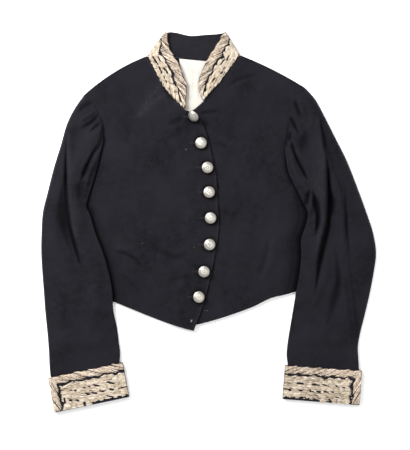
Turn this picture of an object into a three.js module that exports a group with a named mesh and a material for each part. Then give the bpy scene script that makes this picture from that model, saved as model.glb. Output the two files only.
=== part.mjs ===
// A waist-length military coatee, buttoned up and laid flat on its back, seen from above.
// Millimetres. +X is the viewer's right, +Y runs up to the collar and +Z up from the surface.
// "right" and "left" in names are the wearer's, so the right side is the viewer's left.
import * as THREE from 'three';

const WALL = 2.0; // wool of the back and sleeves, with its lining
const FRONT_WALL = 2.6; // the fronts are faced and padded
const LINING_WALL = 1.0;
const COLLAR_WALL = 2.6;
const CUFF_WALL = 1.6;
const GAP = 0.3; // left between pieces at seams and between layers
const EMBROIDERY = 1.2; // padded metal thread, raised

// Heights of the layers over the surface.
const FRONT_BASE = WALL + GAP;
const LINING_BASE = WALL + GAP;
const LINING_LIFT = 1.6; // the fronts rise this much to pass over the neck lining
const OVER_BODY = FRONT_BASE + FRONT_WALL + GAP; // where a sleeve lies on the body's side
const IN_CUFF = CUFF_WALL + GAP; // where a sleeve lies on the cuff's lower wall
const CUFF_HEIGHT = IN_CUFF + WALL + GAP + WALL + GAP + CUFF_WALL;
const COLLAR_FRONT_BASE = 4.0;
const COLLAR_RISE = 0.045; // slope of the collar's fronts from its side folds to the throat

// Distances over which one layer rises onto another, from where the ramp starts to its end.
const LINING_RAMP = [30, 90]; // in from the body's sides
const FOLD_RAMP = [34, 60]; // the body's sides stay flat up to the first of these
const OVERLAP_RAMP = [20, 46]; // away from the left front's outline
const BODY_RAMP = [15, 42]; // away from the body's sides, under a sleeve

const UNDERARM_ROW = 5;

// Front panels: a row for each section, from the shoulder seam down to the hem.
const FRONT_RIGHT_ROWS = [
  { side: [-249, 252.8], edge: [-123, 330.8] },
  { side: [-234, 236.8], edge: [-114.2, 313.6] },
  { side: [-222, 216.8], edge: [-100, 285.8] },
  { side: [-214.4, 194.8], edge: [-81, 256.8] },
  { side: [-213, 176.8], edge: [-61, 235.8] },
  { side: [-212.4, 164.8], edge: [-47, 223.2] },
  { side: [-223, 150.8], edge: [-35.8, 218.8] },
  { side: [-237, 130.8], edge: [-18.4, 204.8] },
  { side: [-247, 102.8], edge: [-3.4, 171.8] },
  { side: [-253, 66.8], edge: [6, 132.8] },
  { side: [-255, 30.8], edge: [15, 88.8] },
  { side: [-249, -5.2], edge: [17.6, 42.8] },
  { side: [-239, -37.2], edge: [20.2, -13.2] },
  { side: [-229, -69.2], edge: [14, -57.2] },
  { side: [-220, -101.2], edge: [3, -111.2] },
  { side: [-211, -129.2], edge: [-9, -159.2] },
  { side: [-203, -155.2], edge: [-30, -218.2] },
];
const FRONT_LEFT_ROWS = [
  { side: [193, 266.8], edge: [64, 331.8] },
  { side: [176, 249.8], edge: [50.2, 315.8] },
  { side: [166, 228.8], edge: [31, 289.8] },
  { side: [160, 202.8], edge: [9, 262.8] },
  { side: [156.6, 172.8], edge: [-10.4, 240.8] },
  { side: [154.2, 152.8], edge: [-27, 225.8] },
  { side: [163, 136.8], edge: [-40, 214.8] },
  { side: [175, 120.8], edge: [-42, 198.8] },
  { side: [187, 98.8], edge: [-35, 166.8] },
  { side: [195, 70.8], edge: [-25, 128.8] },
  { side: [200, 42.8], edge: [-16, 86.8] },
  { side: [201, 14.8], edge: [-13, 42.8] },
  { side: [198, -17.2], edge: [-11, -13.2] },
  { side: [194, -53.2], edge: [-17, -61.2] },
  { side: [190, -89.2], edge: [-26, -111.2] },
  { side: [185, -117.2], edge: [-36, -163.2] },
  { side: [181, -137.2], edge: [-40, -209.2] },
];
const SHOULDER_BOW = { right: 7, left: 3.5 }; // how far each shoulder seam bows outward
const HEM_SAG = { right: 3.6, left: 4.6 }; // how far each hem hangs below a straight line
const HEM_RISE = { right: 0, left: 4.4 }; // how far each hem is drawn up beside its sleeve
const HEM_RISE_AT = 0.26; // share of the hem, from the side seam
const HEM_RISE_REACH = 0.11;

// Sleeves: a row for each section, from the armhole seam down into the cuff.
const SLEEVE_RIGHT_ROWS = [
  { outer: [-249, 252.8], inner: [-212.4, 164.8] },
  { outer: [-267, 226.8], inner: [-214.5, 146.8] },
  { outer: [-283, 194.8], inner: [-221, 116.8] },
  { outer: [-295, 152.8], inner: [-230, 82.8] },
  { outer: [-309, 106.8], inner: [-238, 56.8] },
  { outer: [-321, 58.8], inner: [-244.6, 30.8] },
  { outer: [-331, 18.8], inner: [-237, 12.8] },
  { outer: [-334, -21.2], inner: [-226, -23.2] },
  { outer: [-335, -61.2], inner: [-211, -61.2] },
  { outer: [-333, -101.2], inner: [-199, -101.2] },
  { outer: [-330, -141.2], inner: [-192, -139.2] },
  { outer: [-327, -181.2], inner: [-190, -177.2] },
  { outer: [-323, -221.2], inner: [-183, -211.2] },
  { outer: [-320, -257.2], inner: [-179, -241.2] },
  { outer: [-318.4, -289.2], inner: [-176.6, -261.2] },
  { outer: [-315.4, -315.2], inner: [-177.4, -286.4] },
  { outer: [-303.5, -369.2], inner: [-166, -340.2] },
];
const SLEEVE_LEFT_ROWS = [
  { outer: [193, 266.8], inner: [154.2, 152.8] },
  { outer: [211, 246.8], inner: [155, 126.8] },
  { outer: [231, 210.8], inner: [159, 98.8] },
  { outer: [251, 170.8], inner: [173, 68.8] },
  { outer: [275, 122.8], inner: [187, 40.8] },
  { outer: [297, 66.8], inner: [198, 16.8] },
  { outer: [317, 12.8], inner: [193, -9.2] },
  { outer: [329, -23.2], inner: [184, -35.2] },
  { outer: [335, -63.2], inner: [184, -69.2] },
  { outer: [330, -103.2], inner: [180, -107.2] },
  { outer: [322, -145.2], inner: [173, -143.2] },
  { outer: [312, -187.2], inner: [167, -181.2] },
  { outer: [303, -223.2], inner: [161, -217.2] },
  { outer: [298.6, -249.2], inner: [157, -243.2] },
  { outer: [299.4, -273.2], inner: [155, -266.2] },
  { outer: [300.5, -300.2], inner: [157.4, -290.4] },
  { outer: [297, -358.2], inner: [153, -348.4] },
];
const CUFF_ROW = 14; // from this row on a sleeve lies flat inside its cuff
const SLEEVE_PUFF = 3.2; // how far the upper wall stands off the under wall

// Folds: ridges stand up and hollows (negative heights) sink, each along its own path.
const BODY_FOLDS = [
  { path: [[-52, 210], [-87, 190]], height: -1.2, width: 7 },
  { path: [[-195, -57], [-159, -70], [-132, -92]], height: 1.8, width: 9 },
  { path: [[-112, -59], [-67, -87]], height: 1.4, width: 9 },
  { path: [[-190, 214], [-150, 186]], height: 1.6, width: 14 },
  { path: [[123, -39], [108, -89], [93, -122]], height: 2.2, width: 13 },
  { path: [[62, 150], [120, 118]], height: 1.3, width: 16 },
  { path: [[40, -140], [60, -60], [66, 20]], height: 1.2, width: 18 },
];
const SLEEVE_RIGHT_FOLDS = [
  { path: [[-279, 190], [-279, 137], [-281, 75], [-277, -7], [-262, -60]], height: 6.5, width: 12 },
  { path: [[-290, 90], [-293, 36], [-289, -11], [-277, -60], [-262, -100]], height: -3.5, width: 8 },
  { path: [[-216, 172], [-236, 122], [-256, 75]], height: -3, width: 7 },
  { path: [[-222, 158], [-228, 108], [-240, 62]], height: 3, width: 8 },
  { path: [[-219, 213], [-243, 179]], height: -2.5, width: 7 },
  { path: [[-226, 208], [-252, 172]], height: 2.5, width: 8 },
  { path: [[-233, 231], [-254, 213]], height: 2, width: 8 },
  { path: [[-240, -120], [-232, -180], [-238, -235]], height: 2.2, width: 16 },
  { path: [[-300, -150], [-292, -210]], height: 2.4, width: 14 },
];
const SLEEVE_LEFT_FOLDS = [
  { path: [[172, 236], [185, 200]], height: -2.5, width: 7 },
  { path: [[181, 240], [197, 202]], height: 2.5, width: 8 },
  { path: [[162, 207], [180, 169]], height: -2.5, width: 7 },
  { path: [[173, 214], [190, 178]], height: 2.5, width: 8 },
  { path: [[162, 159], [175, 127], [188, 88], [204, 67], [213, 40], [214, -11]], height: -3.5, width: 7 },
  { path: [[170, 100], [190, 74], [206, 59]], height: 3, width: 8 },
  { path: [[218, 218], [224, 166], [231, 127], [234, 49], [227, -29], [217, -72]], height: 7, width: 11 },
  {
    path: [[229, 195], [238, 137], [246, 101], [252, 49], [252, 15], [243, -37], [229, -95]],
    height: -4, width: 8,
  },
  { path: [[268, 62], [277, -10], [276, -60]], height: 3.5, width: 14 },
  { path: [[283, 40], [290, -20], [289, -80]], height: -1.5, width: 9 },
  { path: [[262, -75], [270, -101], [258, -159], [245, -211]], height: 2.6, width: 14 },
];

// The collar: rows across the band, from its front end to the side fold. The last row of each
// front is the outline of the fold itself.
const COLLAR_RIGHT_ROWS = [
  { neck: [-49, 224.8], top: [-46, 227.4] },
  { neck: [-59, 233.8], top: [-45.4, 245.8] },
  { neck: [-70, 244.8], top: [-44, 260.8] },
  { neck: [-81, 256.8], top: [-45.2, 274.8] },
  { neck: [-91, 269.8], top: [-51, 290.8] },
  { neck: [-103.4, 292], top: [-58.4, 312.8] },
  { neck: [-114.2, 313.6], top: [-72.4, 334.8] },
  { neck: [-119.8, 324.8], top: [-80.2, 352.2] },
  { neck: [-119.6, 330.6], top: [-83, 378.8] },
  { neck: [-122.2, 332.8], top: [-86.4, 381.4] },
];
const COLLAR_LEFT_ROWS = [
  { neck: [-11, 240.4], top: [-15, 247.8] },
  { neck: [-4, 248.8], top: [-20.4, 265.8] },
  { neck: [5, 258.8], top: [-18.8, 286.8] },
  { neck: [19.8, 274.8], top: [-10, 307.8] },
  { neck: [36, 296], top: [-2.6, 324.8] },
  { neck: [50.2, 315.8], top: [9.8, 343.8] },
  { neck: [55.6, 323.2], top: [21.8, 363] },
  { neck: [59.6, 331.2], top: [30.6, 377.6] },
  { neck: [62.2, 332.8], top: [34.4, 379.6] },
];
const COLLAR_BACK_ROWS = [
  { neck: [-109, 328.8], top: [-77.2, 379] },
  { neck: [-93, 328], top: [-72, 378.6] },
  { neck: [-77, 328], top: [-64, 377.4] },
  { neck: [-63, 328], top: [-56, 375.6] },
  { neck: [-49, 325.2], top: [-47, 373.2] },
  { neck: [-33, 322], top: [-34, 371.2] },
  { neck: [-17, 322.2], top: [-20, 372.2] },
  { neck: [-1, 322.4], top: [-6, 373.4] },
  { neck: [15, 323.2], top: [6, 374.2] },
  { neck: [31, 325.2], top: [16, 374.8] },
  { neck: [47, 328.4], top: [24, 376] },
];
const NECK_LINING = [
  [-59, 325.4], [-48, 322], [-33, 319.2], [-17, 319.6], [-1, 319.8], [3, 310.8], [-5, 292.8],
  [-11, 270.8], [-9, 252.8], [-5, 234.8], [-17, 212.8], [-37, 208.8], [-51, 216.8], [-55, 226.8],
  [-51.4, 234.8], [-49.4, 258.8], [-51, 282.8], [-57, 310.8],
];

// Cuffs: corners of each turned-back band.
const CUFF_RIGHT = {
  outerTop: [-320.8, -311.8], innerTop: [-171.4, -281],
  outerEnd: [-308.2, -381.4], innerEnd: [-158.6, -349.8],
};
const CUFF_LEFT = {
  outerTop: [306.6, -297.6], innerTop: [152, -286.8],
  outerEnd: [301, -366.5], innerEnd: [147, -354],
};
const CUFF_EDGE = { reach: 2.2, shoulder: 0.65 }; // how a cuff's side edges are rounded

// Embroidery: an edge border, a wavy line of bare cloth, and a field with short bare slits.
const BORDER_COLLAR = 19;
const BORDER_CUFF = 15;
const BARE_LINE = 2.4;
const SCALLOP = { pitch: 8, depth: 1.0 };
const EDGE_MARGIN = 1.2;
const CUFF_HEM_MARGIN = 5; // bare cloth under the field, on the inner half of a cuff

// Buttons, from the collar down. tilt is how far a button leans on its shank, in degrees,
// and toward is the direction it leans to.
const BUTTONS = [
  { at: [-30.4, 209.2], tilt: 34, toward: 225 },
  { at: [-15.4, 156.8], tilt: 3, toward: 200 },
  { at: [-2.4, 107.8], tilt: 5, toward: 330 },
  { at: [0.8, 58.8], tilt: 4, toward: 60 },
  { at: [3.6, 7.2], tilt: 6, toward: 190 },
  { at: [1.8, -45.8], tilt: 4, toward: 300 },
  { at: [-9.4, -99.8], tilt: 7, toward: 250 },
  { at: [-19.6, -150.2], tilt: 5, toward: 20 },
];
const BUTTON = { radius: 11.7, dome: 4.6, rim: 0.9, shankRadius: 2.6, shank: 2.2, sides: 14 };

const wool = new THREE.MeshStandardMaterial({ color: 0x2b2a30, roughness: 0.95, metalness: 0 });
const liningCloth = new THREE.MeshStandardMaterial({ color: 0xf6f1e6, roughness: 0.8, metalness: 0 });
const goldThread = new THREE.MeshStandardMaterial({ color: 0xcfbe9f, roughness: 0.5, metalness: 0.4 });
const silver = new THREE.MeshStandardMaterial({ color: 0xc9c6bd, roughness: 0.35, metalness: 0.9 });

const coatee = new THREE.Group();

function addPiece(name, geometry, material) {
  const mesh = new THREE.Mesh(geometry, material);
  mesh.name = name;
  coatee.add(mesh);
  return mesh;
}

const smooth = (low, high, value) => THREE.MathUtils.smoothstep(value, low, high);
const mix = (a, b, t) => [a[0] + (b[0] - a[0]) * t, a[1] + (b[1] - a[1]) * t];

// A smooth curve through one named column of a table, read at a row number that may be a fraction.
function columnCurve(rows, column) {
  const points = rows.map((row) => new THREE.Vector3(row[column][0], row[column][1], 0));
  const curve = new THREE.CatmullRomCurve3(points, false, 'centripetal');
  return (row) => {
    const point = curve.getPoint(row / (rows.length - 1));
    return [point.x, point.y];
  };
}

function steps(first, last, count) {
  return Array.from({ length: count + 1 }, (_, i) => first + ((last - first) * i) / count);
}

function distanceToSegment(p, a, b) {
  const [dx, dy] = [b[0] - a[0], b[1] - a[1]];
  const along = ((p[0] - a[0]) * dx + (p[1] - a[1]) * dy) / (dx * dx + dy * dy);
  const t = Math.min(1, Math.max(0, along));
  return { distance: Math.hypot(p[0] - a[0] - t * dx, p[1] - a[1] - t * dy), t };
}

function distanceToPolygon(p, polygon) {
  let inside = false;
  let nearest = Infinity;
  polygon.forEach((a, i) => {
    const b = polygon[(i + 1) % polygon.length];
    nearest = Math.min(nearest, distanceToSegment(p, a, b).distance);
    const crosses = a[1] > p[1] !== b[1] > p[1];
    if (crosses && p[0] < a[0] + ((p[1] - a[1]) / (b[1] - a[1])) * (b[0] - a[0])) {
      inside = !inside;
    }
  });
  return inside ? 0 : nearest;
}

// Height that a set of folds adds at a point: a bell across each path, fading at its ends.
function foldHeight(folds, p) {
  return folds.reduce((total, fold) => {
    const last = fold.path.length - 1;
    let nearest = { distance: Infinity, along: 0 };
    for (let i = 0; i < last; i += 1) {
      const { distance, t } = distanceToSegment(p, fold.path[i], fold.path[i + 1]);
      if (distance < nearest.distance) nearest = { distance, along: (i + t) / last };
    }
    const fade = smooth(0, 0.25, nearest.along) * smooth(0, 0.25, 1 - nearest.along);
    return total + fold.height * fade * Math.exp(-((nearest.distance / fold.width) ** 2));
  }, 0);
}

// A closed cloth wall over a grid of plan points, between a lower and an upper height.
function wallSolid(grid, lower, upper) {
  const rows = grid.length;
  const columns = grid[0].length;
  const positions = [];
  [upper, lower].forEach((height) => {
    grid.forEach((row, j) => row.forEach((p, i) => positions.push(p[0], p[1], height(p, j, i))));
  });
  const top = (j, i) => j * columns + i;
  const under = (j, i) => rows * columns + top(j, i);
  const index = [];
  const quad = (a, b, c, d) => index.push(a, b, c, a, c, d);
  for (let j = 0; j + 1 < rows; j += 1) {
    for (let i = 0; i + 1 < columns; i += 1) {
      quad(top(j, i), top(j + 1, i), top(j + 1, i + 1), top(j, i + 1));
      quad(under(j, i), under(j, i + 1), under(j + 1, i + 1), under(j + 1, i));
    }
    quad(top(j, 0), under(j, 0), under(j + 1, 0), top(j + 1, 0));
    quad(top(j, columns - 1), top(j + 1, columns - 1), under(j + 1, columns - 1), under(j, columns - 1));
  }
  for (let i = 0; i + 1 < columns; i += 1) {
    quad(top(0, i), top(0, i + 1), under(0, i + 1), under(0, i));
    quad(top(rows - 1, i), under(rows - 1, i), under(rows - 1, i + 1), top(rows - 1, i + 1));
  }
  return closedGeometry(positions, index);
}

// Builds the geometry and turns its faces outward.
function closedGeometry(positions, index) {
  let volume = 0;
  const point = (i) => new THREE.Vector3().fromArray(positions, index[i] * 3);
  for (let i = 0; i < index.length; i += 3) {
    volume += point(i).dot(point(i + 1).cross(point(i + 2)));
  }
  if (volume < 0) index.reverse();
  const geometry = new THREE.BufferGeometry();
  geometry.setAttribute('position', new THREE.Float32BufferAttribute(positions, 3));
  geometry.setIndex(index);
  geometry.computeVertexNormals();
  return geometry;
}

// A flat plate with holes. Its outline is turned anticlockwise, as ExtrudeGeometry needs for holes.
function plate(outline, holes, thickness) {
  const toVectors = (points) => points.map(([x, y]) => new THREE.Vector2(x, y));
  const rim = toVectors(outline);
  if (THREE.ShapeUtils.isClockWise(rim)) rim.reverse();
  const shape = new THREE.Shape(rim);
  shape.holes = holes.map((hole) => new THREE.Path(toVectors(hole)));
  return new THREE.ExtrudeGeometry(shape, { depth: thickness, bevelEnabled: false, steps: 1 });
}

// Lifts each point of a plate onto a surface whose height is a function of the plan point.
function drapeOn(geometry, height) {
  const position = geometry.getAttribute('position');
  for (let i = 0; i < position.count; i += 1) {
    position.setZ(i, position.getZ(i) + height([position.getX(i), position.getY(i)]));
  }
  return geometry;
}

// Plan grids of the fronts. The same side points bound the back and the armholes.
const FRONT_STATIONS = [...steps(0, 8, 16), ...steps(8, 16, 10).slice(1)];
const FRONT_COLUMNS = 14;

function frontGrid(rows, bow, hemSag, hemRise) {
  const side = columnCurve(rows, 'side');
  const edge = columnCurve(rows, 'edge');
  const [dx, dy] = [rows[0].edge[0] - rows[0].side[0], rows[0].edge[1] - rows[0].side[1]];
  const length = Math.hypot(dx, dy);
  const outward = [(-dy / length) * Math.sign(dx), Math.abs(dx) / length];
  return FRONT_STATIONS.map((row) => steps(0, 1, FRONT_COLUMNS).map((u) => {
    const p = mix(side(row), edge(row), u);
    const bulge = bow * 4 * u * (1 - u) * Math.max(0, 1 - row / 2);
    const sag = hemSag * 6.75 * u * u * (1 - u); // deepest at two thirds
    const rise = hemRise * Math.exp(-(((u - HEM_RISE_AT) / HEM_RISE_REACH) ** 2));
    const drop = (sag - rise) * smooth(13, 16, row);
    return [p[0] + outward[0] * bulge, p[1] + outward[1] * bulge - drop];
  }));
}

const frontRightGrid = frontGrid(
  FRONT_RIGHT_ROWS, SHOULDER_BOW.right, HEM_SAG.right, HEM_RISE.right,
);
const frontLeftGrid = frontGrid(
  FRONT_LEFT_ROWS, SHOULDER_BOW.left, HEM_SAG.left, HEM_RISE.left,
);
const sidePoints = (grid) => grid.map((row) => row[0]);
const edgePoints = (grid) => grid.map((row) => row[row.length - 1]);

// How far a point lies inside the body from the armhole and side seam, level with it.
function inset(grid, p) {
  const side = sidePoints(grid);
  const below = side.findIndex((q) => q[1] < p[1]);
  let x = side[side.length - 1][0];
  if (below === 0) {
    x = side[0][0];
  } else if (below > 0) {
    const [a, b] = [side[below - 1], side[below]];
    x = a[0] + ((p[1] - a[1]) / (b[1] - a[1])) * (b[0] - a[0]);
  }
  return Math.sign(grid[0][1][0] - grid[0][0][0]) * (p[0] - x);
}

function bodyLift(grid, p) {
  const depth = inset(grid, p);
  const folds = foldHeight(BODY_FOLDS, p) * smooth(...FOLD_RAMP, depth);
  return Math.max(0, LINING_LIFT * smooth(...LINING_RAMP, depth) + folds);
}

// The left front's outline, which the right front has to step over.
const frontLeftOutline = [
  ...sidePoints(frontLeftGrid).reverse(),
  ...edgePoints(frontLeftGrid),
];
const OVERLAP_STEP = FRONT_WALL + GAP;

function frontLeftUnderside(p) {
  return FRONT_BASE + bodyLift(frontLeftGrid, p);
}

function frontRightUnderside(p) {
  const away = distanceToPolygon(p, frontLeftOutline);
  return FRONT_BASE + bodyLift(frontRightGrid, p) + OVERLAP_STEP * (1 - smooth(...OVERLAP_RAMP, away));
}

function buildFronts() {
  const frontLeftTop = (p) => frontLeftUnderside(p) + FRONT_WALL;
  const frontRightTop = (p) => frontRightUnderside(p) + FRONT_WALL;
  addPiece('front_left', wallSolid(frontLeftGrid, frontLeftUnderside, frontLeftTop), wool);
  addPiece('front_right', wallSolid(frontRightGrid, frontRightUnderside, frontRightTop), wool);
}

function buildBack() {
  const hemInset = 4;
  const neck = COLLAR_BACK_ROWS.map((row) => [row.neck[0], row.neck[1] - GAP]);
  const hem = [...frontRightGrid.at(-1).slice(0, -2), ...frontLeftGrid.at(-1).slice(0, -2).reverse()];
  const hemRaised = hem.slice(1, -1).map(([x, y]) => [x, y + hemInset]);
  const outline = [
    ...sidePoints(frontRightGrid),
    ...hemRaised,
    ...sidePoints(frontLeftGrid).reverse(),
    ...frontLeftGrid[0].slice(1),
    ...[...neck].reverse(),
    ...frontRightGrid[0].slice(1).reverse(),
  ];
  addPiece('back', plate(outline, [], WALL), wool);
  const lining = plate(NECK_LINING, [], LINING_WALL);
  lining.translate(0, 0, LINING_BASE);
  addPiece('back_neck_lining', lining, liningCloth);
}

// Sleeve walls share one plan grid, so that the upper wall follows the under wall.
const SLEEVE_STATIONS = [...steps(0, 12, 20), 13, 14, 15, 16];
const SLEEVE_COLUMNS = 12;
const SEAM_OFFSET = 0.35;

// The armhole as a line of points, walked at equal lengths and moved off the body.
function armholePoints(grid, count) {
  const line = sidePoints(grid).slice(0, 2 * UNDERARM_ROW + 1);
  const path = new THREE.CurvePath();
  for (let i = 0; i + 1 < line.length; i += 1) {
    path.add(new THREE.LineCurve(new THREE.Vector2(...line[i]), new THREE.Vector2(...line[i + 1])));
  }
  const outward = -Math.sign(grid[0][1][0] - grid[0][0][0]);
  return steps(0, 1, count).map((t) => {
    const point = path.getPointAt(t);
    const tangent = path.getTangentAt(Math.min(0.999, Math.max(0.001, t)));
    return [
      point.x + outward * Math.abs(tangent.y) * SEAM_OFFSET,
      point.y - Math.abs(tangent.x) * SEAM_OFFSET,
    ];
  });
}

function sleeveGrid(rows, bodyGrid) {
  const outer = columnCurve(rows, 'outer');
  const inner = columnCurve(rows, 'inner');
  const armhole = armholePoints(bodyGrid, SLEEVE_COLUMNS);
  return SLEEVE_STATIONS.map((row) => armhole.map((seam, i) => {
    const u = i / SLEEVE_COLUMNS;
    const straight = mix(outer(row), inner(row), u);
    const first = mix(outer(0), inner(0), u);
    const share = 1 - smooth(0, 1.5, row);
    return [straight[0] + share * (seam[0] - first[0]), straight[1] + share * (seam[1] - first[1])];
  }));
}

function sleeveUnderside(bodyGrid) {
  const side = sidePoints(bodyGrid).slice(2 * UNDERARM_ROW);
  const hem = bodyGrid.at(-1);
  const body = [...side, hem.at(-1), [hem.at(-1)[0], side[0][1]]];
  return (p, j) => {
    const onBody = OVER_BODY * (1 - smooth(...BODY_RAMP, distanceToPolygon(p, body)));
    const onCuff = IN_CUFF * smooth(CUFF_ROW - 2, CUFF_ROW, SLEEVE_STATIONS[j]);
    return Math.max(onBody, onCuff);
  };
}

function buildSleeve(name, rows, bodyGrid, folds) {
  const grid = sleeveGrid(rows, bodyGrid);
  const under = sleeveUnderside(bodyGrid);
  const standOff = (p, j, i) => {
    const row = SLEEVE_STATIONS[j];
    const u = i / SLEEVE_COLUMNS;
    const across = smooth(0, 0.3, u) * smooth(0, 0.3, 1 - u);
    const flat = smooth(0, 1, CUFF_ROW - 0.5 - row) * (0.4 + 0.6 * smooth(0, 2, row));
    const rimless = smooth(0, 0.12, u) * smooth(0, 0.12, 1 - u) * flat;
    return Math.max(0, SLEEVE_PUFF * across * flat + foldHeight(folds, p) * rimless);
  };
  const underTop = (p, j) => under(p, j) + WALL;
  const upperUnderside = (p, j, i) => underTop(p, j) + GAP + standOff(p, j, i);
  const upperTop = (p, j, i) => upperUnderside(p, j, i) + WALL;
  addPiece(`${name}_under`, wallSolid(grid, under, underTop), wool);
  addPiece(`${name}_upper`, wallSolid(grid, upperUnderside, upperTop), wool);
}

// A cuff is a flattened tube round the sleeve's end, with a small gap all round it.
function cuffPoint(cuff, across, along) {
  return mix(mix(cuff.outerTop, cuff.innerTop, across), mix(cuff.outerEnd, cuff.innerEnd, across), along);
}

function cuffContour(wallInset, span) {
  const [low, high] = [wallInset, CUFF_HEIGHT - wallInset];
  const middle = CUFF_HEIGHT / 2;
  const { reach, shoulder } = CUFF_EDGE;
  const end = [
    [wallInset + reach, low], [wallInset + shoulder, low + shoulder], [wallInset, middle],
    [wallInset + shoulder, high - shoulder], [wallInset + reach, high],
  ];
  const farEnd = end.map(([x, z]) => [span - x, z]).reverse();
  return [...end, [span * 0.35, high], [span * 0.65, high], ...farEnd, [span * 0.65, low], [span * 0.35, low]];
}

function buildCuff(name, cuff) {
  const span = Math.hypot(cuff.innerTop[0] - cuff.outerTop[0], cuff.innerTop[1] - cuff.outerTop[1]);
  const rings = [0, CUFF_WALL].map((wallInset) => cuffContour(wallInset, span));
  const count = rings[0].length;
  const positions = [];
  [0, 1].forEach((along) => rings.forEach((ring) => ring.forEach(([x, z]) => {
    positions.push(...cuffPoint(cuff, x / span, along), z);
  })));
  const index = [];
  const vertex = (along, ring, i) => (along * 2 + ring) * count + (i % count);
  const quad = (a, b, c, d) => index.push(a, b, c, a, c, d);
  for (let i = 0; i < count; i += 1) {
    quad(vertex(0, 0, i), vertex(0, 0, i + 1), vertex(1, 0, i + 1), vertex(1, 0, i));
    quad(vertex(0, 1, i), vertex(1, 1, i), vertex(1, 1, i + 1), vertex(0, 1, i + 1));
    quad(vertex(0, 0, i), vertex(0, 1, i), vertex(0, 1, i + 1), vertex(0, 0, i + 1));
    quad(vertex(1, 0, i), vertex(1, 0, i + 1), vertex(1, 1, i + 1), vertex(1, 1, i));
  }
  addPiece(name, closedGeometry(positions, index), wool);
}

// The collar's fronts lie on slopes that rise from the side folds to the throat.
const collarSlope = {
  right: (p) => COLLAR_FRONT_BASE + COLLAR_RISE * (p[0] - COLLAR_RIGHT_ROWS.at(-1).neck[0]),
  left: (p) => COLLAR_FRONT_BASE + COLLAR_RISE * (COLLAR_LEFT_ROWS.at(-1).neck[0] - p[0]),
};

// Rows of middle points round one side fold, from the front layer down to the back layer.
function foldRows(axis, outline, slope) {
  const middleLow = COLLAR_WALL / 2;
  const [dx, dy] = [axis.top[0] - axis.neck[0], axis.top[1] - axis.neck[1]];
  const length = Math.hypot(dx, dy);
  const sign = Math.sign((outline.neck[0] - axis.neck[0]) * -dy + (outline.neck[1] - axis.neck[1]) * dx);
  const outward = [(sign * -dy) / length, (sign * dx) / length];
  return [60, 30, 0, -30, -60].map((degrees) => {
    const angle = THREE.MathUtils.degToRad(degrees);
    return ['neck', 'top'].map((key) => {
      const radius = (slope(axis[key]) + COLLAR_WALL / 2 - middleLow) / 2;
      const reach = radius * Math.cos(angle);
      return new THREE.Vector3(
        axis[key][0] + outward[0] * reach,
        axis[key][1] + outward[1] * reach,
        middleLow + radius + radius * Math.sin(angle),
      );
    });
  });
}

// Rows of one front of the collar, its neck seam set just clear of the front panel's neckline.
function collarFrontRows(rows, grid) {
  const neckline = edgePoints(grid);
  const neck = columnCurve(rows, 'neck');
  const top = columnCurve(rows, 'top');
  const axisRow = rows.length - 2;
  return steps(0, axisRow, 2 * axisRow).map((row) => {
    const [seam, upper] = [neck(row), top(row)];
    const nearest = neckline.slice(1).map((b, i) => {
      const { distance, t } = distanceToSegment(seam, neckline[i], b);
      return { distance, at: mix(neckline[i], b, t) };
    }).reduce((best, found) => (found.distance < best.distance ? found : best));
    if (nearest.distance > 2.5) return { neck: seam, top: upper };
    const width = Math.hypot(upper[0] - nearest.at[0], upper[1] - nearest.at[1]);
    return { neck: mix(nearest.at, upper, (2 * GAP) / width), top: upper };
  });
}

function buildCollar() {
  const raised = (rows, slope) => rows.map((row) => [row.neck, row.top].map((p) => (
    new THREE.Vector3(p[0], p[1], slope(p) + COLLAR_WALL / 2)
  )));
  const flat = () => 0;
  const right = collarFrontRows(COLLAR_RIGHT_ROWS, frontRightGrid);
  const left = collarFrontRows(COLLAR_LEFT_ROWS, frontLeftGrid);
  const sections = [
    ...raised(right, collarSlope.right),
    ...foldRows(right.at(-1), COLLAR_RIGHT_ROWS.at(-1), collarSlope.right),
    ...raised([right.at(-1)], flat),
    ...raised(COLLAR_BACK_ROWS, flat),
    ...raised([left.at(-1)], flat),
    ...foldRows(left.at(-1), COLLAR_LEFT_ROWS.at(-1), collarSlope.left).reverse(),
    ...raised([...left].reverse(), collarSlope.left),
  ];
  const across = 2;
  const middle = sections.map(([neck, top]) => steps(0, 1, across).map((t) => neck.clone().lerp(top, t)));
  const moved = (side) => middle.map((row, j) => row.map((point, i) => {
    const before = middle[Math.max(0, j - 1)][i];
    const after = middle[Math.min(middle.length - 1, j + 1)][i];
    const along = after.clone().sub(before);
    const over = row[across].clone().sub(row[0]);
    return point.clone().addScaledVector(along.cross(over).normalize(), (side * COLLAR_WALL) / 2);
  }));
  const [upper, lower] = [moved(1), moved(-1)];
  const plan = upper.map((row) => row.map((p) => [p.x, p.y]));
  const geometry = wallSolid(plan, (p, j, i) => lower[j][i].z, (p, j, i) => upper[j][i].z);
  const position = geometry.getAttribute('position');
  const half = position.count / 2;
  lower.flat().forEach((p, i) => position.setXYZ(half + i, p.x, p.y, p.z));
  geometry.computeVertexNormals();
  addPiece('collar', geometry, wool);
}

// Embroidery on one front of the collar, measured from the band's top edge.
const scallop = (length) => SCALLOP.depth * Math.abs(Math.sin((Math.PI * length) / SCALLOP.pitch));
const waver = (length) => 1.3 * Math.sin(length / 5.5) + 0.9 * Math.sin(length / 3.1 + 1);

function collarBand(rows) {
  const neck = columnCurve(rows, 'neck');
  const top = columnCurve(rows, 'top');
  const width = (row) => Math.hypot(top(row)[0] - neck(row)[0], top(row)[1] - neck(row)[1]);
  const at = (row, fromTop) => mix(top(row), neck(row), fromTop / width(row));
  return { at, width, last: rows.length - 1 };
}

function strip(at, from, to, count, low, high) {
  const stations = steps(from, to, count);
  const lowSide = stations.map((s) => at(s, low(s)));
  const highSide = stations.map((s) => at(s, high(s)));
  return [...lowSide, ...highSide.reverse()];
}

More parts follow.
